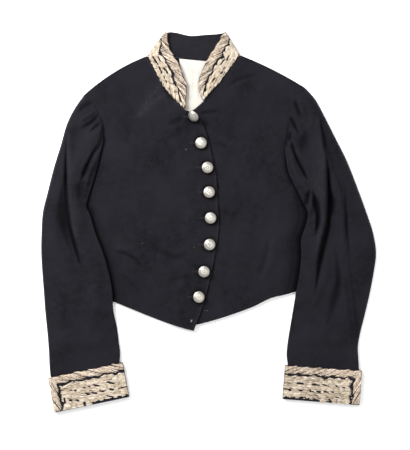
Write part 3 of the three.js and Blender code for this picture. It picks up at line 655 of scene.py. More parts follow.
@dataclass(frozen=True)
class SilverFinish:
    """Old plated metal, bright where it is raised and grey in its recesses."""

    name: str = "aged_silver"
    bright: Colour = (206, 202, 193)
    grey: Colour = (98, 92, 85)

    def make(self) -> Material:
        """Returns the material."""
        metal = Shader(self.name, {"Metallic": 0.85})
        recess = metal.attribute("recess")
        patina = metal.reach(metal.noise(260, 5, 0.65), 0.42, 0.75, (0, 0.5))
        dark = metal.math("MAXIMUM", recess, patina)
        metal.colour(metal.blend(dark, paint(self.bright), paint(self.grey)))
        metal.roughness(metal.reach(metal.noise(500, 3), 0.3, 0.7, (0.3, 0.52)))
        metal.bump(((metal.noise(900, 4, 0.7), 0.35, 0.00015),))
        return metal.material


@dataclass(frozen=True)
class SewingThreadFinish:
    """Waxed linen sewing thread."""

    name: str
    dark: Colour
    light: Colour

    def make(self) -> Material:
        """Returns the material."""
        thread = Shader(self.name, {"Specular IOR Level": 0.3})
        tone = thread.reach(thread.noise(700, 3), 0.35, 0.65)
        thread.colour(thread.blend(tone, paint(self.dark), paint(self.light)))
        thread.roughness(thread.reach(thread.noise(300, 2), 0.3, 0.7, (0.6, 0.85)))
        return thread.material


@dataclass(frozen=True)
class FloorFinish:
    """A plain pale table."""

    name: str = "pale_table"
    colour: Colour = (252, 252, 252)

    def make(self) -> Material:
        """Returns the material."""
        floor = Shader(self.name, {"Base Color": paint(self.colour), "Roughness": 0.9})
        return floor.material


class Slot(Enum):
    """The record's material slots."""

    WOOL = "wool"
    LINING = "lining"
    EMBROIDERY = "embroidery"
    SILVER = "silver"


@dataclass(frozen=True)
class Cut:
    """The flat piece of cloth that a sheet was cut to, in metres and square metres."""

    width: float
    length: float
    area: float


@dataclass
class SubAssembly:
    """Pieces that are built, dressed and reported together."""

    pieces: list[bpy.types.Object] = field(default_factory=list, init=False, repr=False)

    def keep(
        self, piece: bpy.types.Object, slot: Slot, nodes: tuple[str, ...] = (),
        cut: Cut | None = None, rests_on: tuple[str, ...] = (), held: str = "laid",
    ) -> bpy.types.Object:
        """Keeps one piece: attaches it under the root and hides the CAD nodes that it stands for.

        Args:
            piece: the new object.
            slot: the record's slot for its finish; not used.
            nodes: the CAD nodes that it stands for.
            cut: its flat cut, where it is a sheet; not used.
            rests_on: what the sheet lies on; not used.
            held: how the sheet is held; not used.

        Returns:
            The same object.
        """
        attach(piece, ROOT)
        if nodes:
            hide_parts(*nodes)
        self.pieces.append(piece)
        return piece

    def report(self) -> None:
        """Logs each piece with its size."""
        for piece in self.pieces:
            LOG.info("%s: %d faces", piece.name, len(piece.data.polygons))


@dataclass
class FrontPanel(SubAssembly):
    """One front of the coatee: plan, layers and relief."""

    name: str
    side: Points
    edge: Points
    bow: float
    folds: tuple
    waves: tuple
    cut: Cut
    under: "FrontPanel | None" = None
    hem_sag: float = 4.0
    hem_rise: float = 0.0
    rise_at: float = 0.26
    rise_reach: float = 0.11
    side_swell: float = 2.4
    scuffs: tuple[Points, ...] = ()
    sleeve_edge: Points = SLEEVE_LEFT_INNER
    valley: float = 9.0
    valley_at_arm: float = 3.4
    valley_depth: float = 3.5
    flat_rim: float = 4.0
    rim: float = 1.4
    length: float = 470.0
    breadth: float = 220.0
    rows: int = 150
    columns: int = 84

    def __post_init__(self) -> None:
        """Works out the outline that the other panels need."""
        numbers = np.linspace(0, LAST_ROW, LAST_ROW * POINTS_PER_ROW + 1)
        self.side_line = row_curve(self.side, numbers)
        self.edge_line = row_curve(self.edge, numbers)
        self.outline = np.vstack([self.side_line[::-1], self.edge_line])
        self.underarm = self.side[UNDERARM_ROW][1]

    def inset(self, points: Array) -> Array:
        """Returns how far plan points lie inside the panel from its side, level with them."""
        order = np.argsort(self.side_line[:, 1])
        x = np.interp(points[:, 1], self.side_line[order, 1], self.side_line[order, 0])
        inward = np.sign(self.edge_line[0, 0] - self.side_line[0, 0])
        return inward * (points[:, 0] - x)

    def underside(self, points: Array) -> Array:
        """Returns the height of the panel's underside at plan points."""
        depth = self.inset(points)
        folds = lifted(self.folds, points) * smooth(self.flat_rim, 20, depth)
        folds -= self.valley_depth * self.beside_sleeve(points, 1.3)
        waves = lifted(self.waves, points) * smooth(self.flat_rim, 40, depth)
        beside = smooth(10, 26, depth) * (1 - smooth(45, 100, depth))
        below_arm = 1 - smooth(self.underarm - 40, self.underarm + 10, points[:, 1])
        swell = self.side_swell * beside * below_arm
        rise = LINING_LIFT * smooth(30, 90, depth) + folds + waves + swell
        height = FRONT_BASE + np.maximum(0, rise)
        if self.under:
            away = outside(points, self.under.outline)
            height = height + OVERLAP_STEP * (1 - smooth(20, 46, away))
        return height

    def top(self, points: Array) -> Array:
        """Returns the height of the panel's upper face at plan points."""
        return self.underside(points) + FRONT_WALL

    def grid(self) -> Array:
        """Returns the panel's plan points, (rows, columns, 2)."""
        down = edge_stations(self.length, self.rows, self.rim)
        shares = along_rows((self.side_line + self.edge_line) / 2, down)
        numbers = shares * (len(self.side) - 1)
        across = edge_stations(self.breadth, self.columns, self.rim)
        plan = mix(row_curve(self.side, numbers), row_curve(self.edge, numbers), across)
        run = np.subtract(self.edge[0], self.side[0])
        length = np.hypot(*run)
        outward = np.array([-run[1] * np.sign(run[0]), abs(run[0])]) / length
        bulge = self.bow * 4 * across * (1 - across)
        plan = plan + (bulge[None] * np.maximum(0, 1 - numbers / 2)[:, None])[..., None] * outward
        plan[..., 1] -= smooth(LAST_ROW - 3, LAST_ROW, numbers)[:, None] * self.hem_drop(across)
        return plan

    def hem_drop(self, across: Array) -> Array:
        """Returns how far the hem hangs below a straight line at shares of its length."""
        sag = self.hem_sag / SAG_PEAK * across ** 2 * (1 - across)
        return sag - self.hem_rise * falloff(across - self.rise_at, self.rise_reach)

    def hem(self, across: Array, inset: float) -> Array:
        """Returns plan points a little above the hem at shares of its length."""
        line = self.side_line[-1] + (self.edge_line[-1] - self.side_line[-1]) * across[:, None]
        return line + np.stack([np.zeros(len(across)), inset - self.hem_drop(across)], axis=1)

    def wear(self, points: Array) -> Array:
        """Returns how rubbed the cloth is: at its edges and on the chest."""
        edge, _, _ = to_polyline(points, self.edge_line)
        rubbed = 0.35 * np.exp(-edge / 1.6)
        for scuff in self.scuffs:
            away, _, _ = to_polyline(points, row_curve(scuff, np.linspace(0, len(scuff) - 1, 24)))
            rubbed += 0.16 * falloff(away, 1.3) + 0.07 * falloff(away, 11)
        return np.clip(rubbed, 0, 1)

    def beside_sleeve(self, points: Array, spread: float) -> Array:
        """Measures the valley between the body and its sleeve, wider below the underarm.

        Args:
            points: plan points.
            spread: a factor for the valley's width.

        Returns:
            Shares from 0 on the open cloth to 1 at the sleeve's edge.
        """
        away, _, _ = to_polyline(points, row_curve(self.sleeve_edge, np.linspace(0, 13, 80)))
        width = spread * (self.valley_at_arm + self.valley * (1 - smooth(10, 70, points[:, 1])))
        return falloff(away, width, 2.6)

    def shade(self, points: Array) -> Array:
        """Returns painted shade: in its creases, in the sleeve's shadow, round buttons and beside
        the closure.
        """
        dark = painted_crease_shade(self.folds, points)
        # painted shadow of the sleeve on the body: a dark core and a wider soft band
        dark = np.maximum(dark, 0.98 * self.beside_sleeve(points, 1.0))
        dark = np.maximum(dark, 0.45 * self.beside_sleeve(points, 2.1))
        if self.under:
            # painted contact shadow round each button
            for button in BUTTONS:
                away = np.hypot(*(points - button.at).T)
                dark = np.maximum(dark, 0.85 * falloff(away, BUTTON_SHADE, 6))
        else:
            # painted shadow along the right front's edge, uneven along its length
            closure = row_curve(FRONT_RIGHT_EDGE, np.linspace(CLOSURE_ROW, LAST_ROW, 120))
            away, _, _ = to_polyline(points, closure)
            closure_shadow = 0.5 + 0.25 * np.sin(points[:, 1] / 8.6) + 0.2 * np.sin(points[:, 1] / 3.7 + 1)
            dark = np.maximum(dark, closure_shadow * falloff(away, 3.2))
        return dark

    def build(self, wool: Material) -> None:
        """Makes and dresses the panel."""
        plan = self.grid()
        flat = plan.reshape(-1, 2)
        height = self.underside(flat).reshape(plan.shape[:2]) + FRONT_WALL / 2
        vertices, faces = Mesher.wall(np.dstack([plan, height]), FRONT_WALL, rim=self.rim)
        # hollow holds painted shade and shadows; wear holds real rubbing
        look = {"wear": self.wear(vertices[:, :2]), "hollow": self.shade(vertices[:, :2])}
        piece = Mesher.make(f"{self.name}_cloth", vertices, faces, wool, look)
        self.keep(piece, Slot.WOOL, (self.name,), self.cut, ("back",))


@dataclass
class BackPanel(SubAssembly):
    """The back of the body, which lies flat on the surface under the fronts."""

    right: FrontPanel
    left: FrontPanel
    cut: Cut
    hem_inset: float = 4.0
    length: float = 420.0
    breadth: float = 400.0
    rows: int = 60
    columns: int = 70
    worn: float = 0.05

    def build(self, wool: Material) -> None:
        """Makes and dresses the back, stretched between its four edges."""
        down = edge_stations(self.length, self.rows, WALL / 2)
        over = edge_stations(self.breadth, self.columns, WALL / 2)
        sides = []
        for panel in (self.right, self.left):
            shares = along_rows(panel.side_line, down)
            sides.append(row_curve(panel.side, shares * (len(panel.side) - 1)))
        neck = np.asarray(COLLAR_BACK_NECK) - (0, GAP)
        top = np.vstack([
            self.right.side[:1], self.right.edge[:1], neck, self.left.edge[:1], self.left.side[:1],
        ])
        inward = np.linspace(0.03, 0.97, 40)
        hem = np.vstack([
            self.right.side[-1:], self.right.hem(inward, self.hem_inset),
            self.left.hem(inward[::-1], self.hem_inset), self.left.side[-1:],
        ])
        top_line, hem_line = (at_shares(line, over) for line in (top, hem))
        u, v = over[None, :, None], down[:, None, None]
        between_sides = sides[0][:, None] * (1 - u) + sides[1][:, None] * u
        between_ends = top_line[None] * (1 - v) + hem_line[None] * v
        corners = (
            top_line[0] * (1 - u) * (1 - v) + top_line[-1] * u * (1 - v)
            + hem_line[0] * (1 - u) * v + hem_line[-1] * u * v
        )
        plan = between_sides + between_ends - corners
        middle = np.dstack([plan, np.full(plan.shape[:2], WALL / 2)])
        vertices, faces = Mesher.wall(middle, WALL)
        wear = np.full(len(vertices), self.worn)
        piece = Mesher.make("back_cloth", vertices, faces, wool, {"wear": wear})
        self.keep(piece, Slot.WOOL, ("back",), self.cut)


@dataclass
class NeckLining(SubAssembly):
    """The white lining of the back, seen in the throat, with a few upright creases."""

    cut: Cut
    creases: tuple = (
        Fold(((-36, 318), (-34, 280), (-36, 232)), 0.5, 1.6, 3.5, 1.6),
        Fold(((-24, 318), (-23, 276), (-26, 226)), 0.4, 3.0, 1.5, 1.6),
        Fold(((-13, 316), (-16, 286), (-17, 262)), 0.4, 1.4, 3.0, 1.6),
        Fold(((-30, 320), (-29, 290), (-30, 262)), -0.3, 2.0, 1.6, 1.6),
    )
    waves: tuple = (Undulation(31, 0.22, 9, 40),)
    length: float = 115.0
    breadth: float = 50.0
    rows: int = 60
    columns: int = 44
    clearance: float = 0.15

    def build(self, cotton: Material) -> None:
        """Makes and dresses the lining."""
        down = edge_stations(self.length, self.rows, LINING_WALL / 2)
        across = edge_stations(self.breadth, self.columns, LINING_WALL / 2)
        numbers = down * (len(LINING_LEFT_EDGE) - 1)
        left, right = (row_curve(edge, numbers) for edge in (LINING_LEFT_EDGE, LINING_RIGHT_EDGE))
        plan = mix(left, right, across)
        flat = plan.reshape(-1, 2)
        lift = np.clip(lifted(self.creases + self.waves, flat), -0.1, 0.6)
        base = FRONT_BASE + self.clearance + LINING_WALL / 2
        height = (base + lift).reshape(plan.shape[:2])
        vertices, faces = Mesher.wall(np.dstack([plan, height]), LINING_WALL)
        piece = Mesher.make("neck_lining_cloth", vertices, faces, cotton)
        self.keep(piece, Slot.LINING, ("back_neck_lining",), self.cut, ("back_cloth",))


class Tube:
    """A flattened tube of cloth, laid over a grid of plan points."""

    @staticmethod
    def middle(
        plan: Array, low: Array, high: Array, wall: float, roundness: float
    ) -> Array:
        """Returns the middle surface of the tube's wall, (rows, points round it, 3).

        Args:
            plan: plan points inside the tube's two side edges, (rows, columns, 2).
            low: height of the tube's lower outside at those points.
            high: height of its upper outside.
            wall: the cloth's thickness.
            roundness: how far the side edges reach out past the plan points.
        """
        upper = np.dstack([plan, high - wall / 2])
        lower = np.dstack([plan, low + wall / 2])
        arcs = []
        for column, neighbour in ((0, 1), (-1, -2)):
            out = plan[:, column] - plan[:, neighbour]
            out = out / np.linalg.norm(out, axis=1)[:, None]
            centre = (upper[:, column] + lower[:, column]) / 2
            half = (upper[:, column, 2] - lower[:, column, 2]) / 2
            arc = []
            for angle in np.radians([60, 30, 0, -30, -60]):
                point = centre.copy()
                point[:, :2] += out * roundness * math.cos(angle)
                point[:, 2] += half * math.sin(angle)
                arc.append(point)
            arcs.append(np.stack(arc, axis=1))
        return np.concatenate([upper, arcs[1], lower[:, ::-1], arcs[0][:, ::-1]], axis=1)


@dataclass
class Sleeve(SubAssembly):
    """A sleeve laid flat beside the body, one hollow tube from the armhole into the cuff."""

    name: str
    outer: Points
    inner: Points
    front: FrontPanel
    folds: tuple
    waves: tuple
    cut: Cut
    puff: float = 5.0
    seam_offset: float = -1.2
    edge_roll: float = 1.6
    high_fold: float = 13.0
    # width of the painted shade along the armhole and of the painted rim highlight along the outer
    # edge
    painted_band_width: float = 2.6
    length: float = 600.0
    breadth: float = 120.0
    rows: int = 210
    columns: int = 72

    def plan(self, numbers: Array, across: Array) -> Array:
        """Returns plan points, whose first row follows the armhole.

        Args:
            numbers: row numbers from the armhole down.
            across: shares of the way from the outer to the inner edge.

        Returns:
            Plan points, (rows, columns, 2).
        """
        straight = mix(row_curve(self.outer, numbers), row_curve(self.inner, numbers), across)
        start = np.array([0.0])
        first = mix(row_curve(self.outer, start), row_curve(self.inner, start), across)[0]
        rows = np.linspace(0, UNDERARM_ROW, 60)
        armhole = row_curve(self.front.side, rows)
        line = at_shares(armhole, across)
        run = np.gradient(line, axis=0)
        run /= np.linalg.norm(run, axis=1)[:, None]
        outward = -np.sign(self.front.edge_line[0, 0] - self.front.side_line[0, 0])
        away = np.stack([outward * abs(run[:, 1]), -abs(run[:, 0])], axis=1)
        seam = line + away * self.seam_offset
        share = (1 - smooth(0, 1.5, numbers))[:, None, None]
        return straight + share * (seam - first)[None]

    def build(self, wool: Material) -> None:
        """Makes and dresses the sleeve."""
        fine = np.linspace(0, LAST_ROW, 200)
        centre = (row_curve(self.outer, fine) + row_curve(self.inner, fine)) / 2
        down = edge_stations(self.length, self.rows, WALL / 2)
        numbers = along_rows(centre, down) * (len(self.outer) - 1)
        margin = (WALL / 2 + self.edge_roll) / self.breadth
        across = margin + (1 - 2 * margin) * edge_stations(self.breadth, self.columns, 3.0)
        plan = self.plan(numbers, across)
        flat = plan.reshape(-1, 2)
        row = np.repeat(numbers, len(across))
        u = np.tile(across, len(numbers))
        low = self.underside(flat, row)
        high = low + 2 * WALL + GAP + self.stand_off(flat, row, u)
        shape = plan.shape[:2]
        middle = Tube.middle(plan, low.reshape(shape), high.reshape(shape), WALL, self.edge_roll)
        vertices, faces = Mesher.wall(middle, WALL, wraps=True)
        # hollow holds painted shade; wear holds real rubbing and a painted rim highlight
        look = {"wear": self.wear(vertices), "hollow": self.shade(vertices[:, :2])}
        piece = Mesher.make(f"{self.name}_cloth", vertices, faces, wool, look)
        nodes = (f"{self.name}_under", f"{self.name}_upper")
        self.keep(piece, Slot.WOOL, nodes, self.cut, (f"{self.front.name}_cloth",))

    def underside(self, points: Array, row: Array) -> Array:
        """Returns the height of the sleeve's lower outside, on the body, surface or cuff."""
        side = self.front.side_line[UNDERARM_POINT:]
        hem = self.front.edge_line[-1]
        body = np.vstack([side, hem, (hem[0], side[0, 1])])
        on_body = OVER_BODY * (1 - smooth(15, 42, outside(points, body)))
        return np.maximum(on_body, IN_CUFF * smooth(CUFF_ROW - 2, CUFF_ROW, row))

    def stand_off(self, points: Array, row: Array, u: Array) -> Array:
        """Returns how far the upper wall stands off the lower one."""
        across = smooth(0, 0.3, u) * smooth(0, 0.3, 1 - u)
        above_cuff = smooth(0, 1, CUFF_ROW - 0.5 - row)
        loose = above_cuff * (0.4 + 0.6 * smooth(0, 2, row))
        rimless = smooth(0, 0.06, u) * smooth(0, 0.05, 1 - u) * above_cuff
        below_seam = 0.5 + 0.5 * smooth(0, 0.5, row)
        relief = lifted(self.folds + self.waves, points) * rimless * below_seam
        return np.maximum(0, self.puff * across * loose + relief)

    def shade(self, points: Array) -> Array:
        """Returns painted shade in its creases and along the armhole seam."""
        armhole, _, _ = to_polyline(points, self.front.side_line[: UNDERARM_POINT + 1])
        # painted shade along the armhole seam, strongest near the shoulder
        depth = 0.8 * (1 - smooth(160, 222, points[:, 1]))
        return np.maximum(painted_crease_shade(self.folds, points), depth * falloff(armhole, self.painted_band_width))

    def wear(self, vertices: Array) -> Array:
        """Returns how rubbed the cloth is on top of its folds, plus a painted rim highlight along
        its outer edge.
        """
        edge = row_curve(self.outer, np.linspace(0, CUFF_ROW, 90))
        away, _, _ = to_polyline(vertices[:, :2], edge)
        on_folds = np.clip((vertices[:, 2] - self.high_fold) / 40, 0, 0.12)
        # the outer-edge term is a painted rim highlight
        return on_folds + 0.55 * falloff(away, self.painted_band_width)


def cuff_point(corners: tuple, across: Array, down: Array) -> Array:
    """Returns plan points at shares of the way across and down a cuff's four corners."""
    outer_top, inner_top, outer_end, inner_end = (np.asarray(c, float) for c in corners)
    a, d = across[..., None], down[..., None]
    top = outer_top + (inner_top - outer_top) * a
    end = outer_end + (inner_end - outer_end) * a
    return top + (end - top) * d


CUFF_RIGHT = ((-320.8, -311.8), (-171.4, -281), (-308.2, -381.4), (-158.6, -349.8))
CUFF_LEFT = ((306.6, -297.6), (152, -286.8), (301, -366.5), (147, -354))


@dataclass
class Cuff(SubAssembly):
    """A turned-back cuff: a flattened tube round the sleeve's end."""

    name: str
    corners: tuple
    cut: Cut
    seed: int
    rows: int = 24
    columns: int = 60
    edge_roll: float = 2.4
    breadth: float = 152.0
    length: float = 70.0
    worn: float = 0.08

    def build(self, wool: Material) -> None:
        """Makes and dresses the cuff."""
        margin = (CUFF_WALL / 2 + self.edge_roll) / self.breadth
        across = margin + (1 - 2 * margin) * np.linspace(0, 1, self.columns)
        down = edge_stations(self.length, self.rows, CUFF_WALL / 2)
        plan = cuff_point(self.corners, *np.meshgrid(across, down))
        wave = Undulation(self.seed, 0.16, 25, 90).lift(plan.reshape(-1, 2)).reshape(plan.shape[:2])
        low = np.zeros(plan.shape[:2])
        middle = Tube.middle(plan, low, CUFF_HEIGHT + wave, CUFF_WALL, self.edge_roll)
        vertices, faces = Mesher.wall(middle, CUFF_WALL, wraps=True)
        wear = np.full(len(vertices), self.worn)
        piece = Mesher.make(f"{self.name}_cloth", vertices, faces, wool, {"wear": wear})
        sleeve = self.name.replace("cuff", "sleeve") + "_cloth"
        self.keep(piece, Slot.WOOL, (self.name,), self.cut, (sleeve,), held="folded")


class Side(Enum):
    """The collar's two fronts: neck and top columns, the fold's reach, and the slope's sign."""

    RIGHT = (COLLAR_RIGHT_NECK, COLLAR_RIGHT_TOP, -122.2, 1)
    LEFT = (COLLAR_LEFT_NECK, COLLAR_LEFT_TOP, 62.2, -1)

    @property
    def neck(self) -> Points:
        """Returns the seam's points, from the throat to the side fold."""
        return self.value[0]

    @property
    def top(self) -> Points:
        """Returns the free edge's points, from the throat to the side fold."""
        return self.value[1]

    @property
    def fold_x(self) -> float:
        """Returns how far out the side fold reaches."""
        return self.value[2]

    @property
    def sign(self) -> int:
        """Returns 1 where the collar's front rises with x, and -1 where it falls."""
        return self.value[3]

    def slope(self, points: Array) -> Array:
        """Returns the height of the collar front's underside at plan points."""
        return COLLAR_FRONT_BASE + COLLAR_RISE * self.sign * (points[..., 0] - self.fold_x)


@dataclass
class Collar(SubAssembly):
    """The standing collar, laid down: two fronts folded over the back at the sides."""

    cut: Cut
    columns: int = 22
    front_length: float = 170.0
    front_rows_count: int = 50
    back_rows_count: int = 46
    height: float = 48.0
    outermost: Points = ((-122.2, 332.8), (62.2, 332.8))
    waves: tuple = (Undulation(5, 0.25, 25, 80),)

    def front_rows(self, side: Side) -> Array:
        """Returns middle points of one front's neck and top edges, (rows, 2, 3)."""
        count = len(side.neck)
        numbers = edge_stations(self.front_length, self.front_rows_count, COLLAR_WALL / 2)
        numbers = numbers[:-3] * (count - 1)
        neck = row_curve(side.neck, numbers)
        top = row_curve(side.top, numbers)
        rows = np.stack([neck, top], axis=1)
        height = side.slope(rows) + COLLAR_WALL / 2
        return np.dstack([rows, height])

    def fold(self, axis: Array, outermost: tuple[float, float]) -> Array:
        """Returns middle points round a side fold, from the front layer down to the back.

        Args:
            axis: the last neck and top points of the front, (2, 3).
            outermost: the plan point that the fold reaches out to.

        Returns:
            Rows of neck and top points, (rows, 2, 3).
        """
        low = COLLAR_WALL / 2
        run = axis[1, :2] - axis[0, :2]
        run /= np.linalg.norm(run)
        out = np.array([-run[1], run[0]])
        out *= np.sign((np.asarray(outermost) - axis[0, :2]) @ out)
        rows = []
        for angle in np.radians(np.linspace(75, -90, 12)):
            radius = (axis[:, 2] - low) / 2
            plan = axis[:, :2] + out * (radius * math.cos(angle))[:, None]
            rows.append(np.column_stack([plan, low + radius + radius * math.sin(angle)]))
        return np.stack(rows)

    def build(self, wool: Material) -> None:
        """Makes and dresses the collar."""
        right, left = (self.front_rows(side) for side in (Side.RIGHT, Side.LEFT))
        folds = [
            self.fold(rows[-1], point) for rows, point in zip((right, left), self.outermost)
        ]
        numbers = np.linspace(0, len(COLLAR_BACK_NECK) - 1, self.back_rows_count)
        edges = (COLLAR_BACK_NECK, COLLAR_BACK_TOP)
        back = np.stack([row_curve(edge, numbers) for edge in edges], axis=1)
        back = np.dstack([back, np.full(back.shape[:2], COLLAR_WALL / 2)])
        ends = np.concatenate([right, folds[0], back, folds[1][::-1], left[::-1]])
        across = edge_stations(self.height, self.columns, COLLAR_WALL / 2)
        middle = ends[:, :1] + (ends[:, 1:] - ends[:, :1]) * across[None, :, None]
        flat = middle[..., :2].reshape(-1, 2)
        sag = lifted(self.waves, flat).reshape(middle.shape[:2]) * np.sin(math.pi * across)
        middle[..., 2] = np.maximum(COLLAR_WALL / 2, middle[..., 2] + sag)
        vertices, faces = Mesher.wall(middle, COLLAR_WALL)
        top_edge = np.vstack([Side.RIGHT.top[::-1], Side.LEFT.top])
        edge, _, _ = to_polyline(vertices[:, :2], np.asarray(top_edge, float))
        wear = 0.06 + 0.3 * np.exp(-edge / 1.5)
        piece = Mesher.make("collar_cloth", vertices, faces, wool, {"wear": wear})
        under = ("front_right_cloth", "back_cloth")
        self.keep(piece, Slot.WOOL, ("collar",), self.cut, under, held="folded")


@dataclass(frozen=True)
class Stitches:
    """Stitches as arrays: each has a path of points, a width, a height and a tone."""

    paths: Array
    widths: Array
    heights: Array
    tones: Array

    PROFILE = ((-0.5, -0.1), (-0.36, 0.62), (0.0, 1.0), (0.36, 0.62), (0.5, -0.1))

    def mesh(self) -> tuple[Array, Array, Array]:
        """Returns vertices, quads and the thread values of all the stitches.

        Returns:
            Points, faces, and at each point the length along its stitch, its share of the way
            round, and its tone.
        """
        count, length = self.paths.shape[:2]
        run = np.gradient(self.paths, axis=1)
        across = np.stack([-run[..., 1], run[..., 0]], axis=-1)
        across /= np.maximum(np.linalg.norm(across, axis=-1), 1e-9)[..., None]
        profile = np.asarray(self.PROFILE)
        ring = len(profile)
        taper = np.sin(np.linspace(0.28, math.pi - 0.28, length)) ** 0.45
        wide = self.widths[:, None] * taper[None]
        vertices = np.repeat(self.paths[:, :, None], ring, axis=2).copy()
        vertices[..., :2] += across[:, :, None] * (wide[..., None] * profile[:, 0])[..., None]
        vertices[..., 2] += (self.heights[:, None] * taper)[..., None] * profile[:, 1]
        step = np.linalg.norm(np.diff(self.paths, axis=1), axis=2)
        gone = np.concatenate([np.zeros((count, 1)), np.cumsum(step, axis=1)], axis=1)
        values = np.zeros((count, length, ring, 3))
        values[..., 0] = gone[..., None]
        values[..., 1] = np.linspace(0, math.pi, ring)
        values[..., 2] = self.tones[:, None, None]
        index = np.arange(count * length * ring).reshape(count, length, ring)
        round_on = np.roll(index, -1, axis=2)
        sides = np.stack([index[:, :-1], round_on[:, :-1], round_on[:, 1:], index[:, 1:]], axis=-1)
        caps = []
        for end, flip in ((index[:, 0], True), (index[:, -1], False)):
            for quad in ([0, 1, 2, 3], [0, 3, 4, 4]):
                cap = end[:, quad]
                caps.append(cap[:, ::-1] if flip else cap)
        faces = np.concatenate([sides.reshape(-1, 4), *caps])
        return vertices.reshape(-1, 3), faces, values.reshape(-1, 3)


@dataclass(frozen=True)
class Thread:
    """How a stitch is laid: its size, its tone from 0 to 1, and how far its middle arches up."""

    width: float
    height: float
    tone: float
    arch: float
    points: int = 7


class Needle:
    """Lays stitches on a raised ground and collects them."""

    def __init__(self, seed: int) -> None:
        """Starts an empty run of stitches with its own seeded chances."""
        self.rng = np.random.default_rng(seed)
        self.paths: list[Array] = []
        self.widths: list[float] = []
        self.heights: list[float] = []
        self.tones: list[float] = []

    def lay(self, line: Array, ground: Array, thread: Thread) -> None:
        """Lays one stitch.

        Args:
            line: plan points of the stitch.
            ground: height of the ground under each point.
            thread: the stitch's size, tone and arch.
        """
        at = np.linspace(0, 1, thread.points)
        source = np.linspace(0, 1, len(line))
        points = np.stack([np.interp(at, source, line[:, k]) for k in (0, 1)], axis=1)
        base = np.interp(at, source, ground)
        rise = thread.arch * np.sin(math.pi * at) ** 0.55
        self.paths.append(np.column_stack([points, base + rise]))
        self.widths.append(thread.width * self.rng.uniform(0.92, 1.1))
        self.heights.append(thread.height * self.rng.uniform(0.85, 1.15))
        self.tones.append(float(np.clip(thread.tone, 0, 1)))

    def piece(self, name: str, material: Material) -> bpy.types.Object:
        """Returns one object that holds every stitch."""
        kept = (self.paths, self.widths, self.heights, self.tones)
        vertices, faces, values = Stitches(*(np.asarray(x) for x in kept)).mesh()
        return Mesher.make(name, vertices, faces, material, {"thread": values})


@dataclass(frozen=True)
class Slit:
    """A short gap between laid threads, where the cloth shows."""

    start: tuple[float, float]
    end: tuple[float, float]
    half: float = 1.0
    worn: float = 0.35

    def holds(self, points: Array) -> Array:
        """Returns whether plan points are in the gap, which wear has made a little wider."""
        line = np.asarray([self.start, self.end], float)
        distance, _, _ = to_polyline(points, line)
        return distance < self.half + self.worn


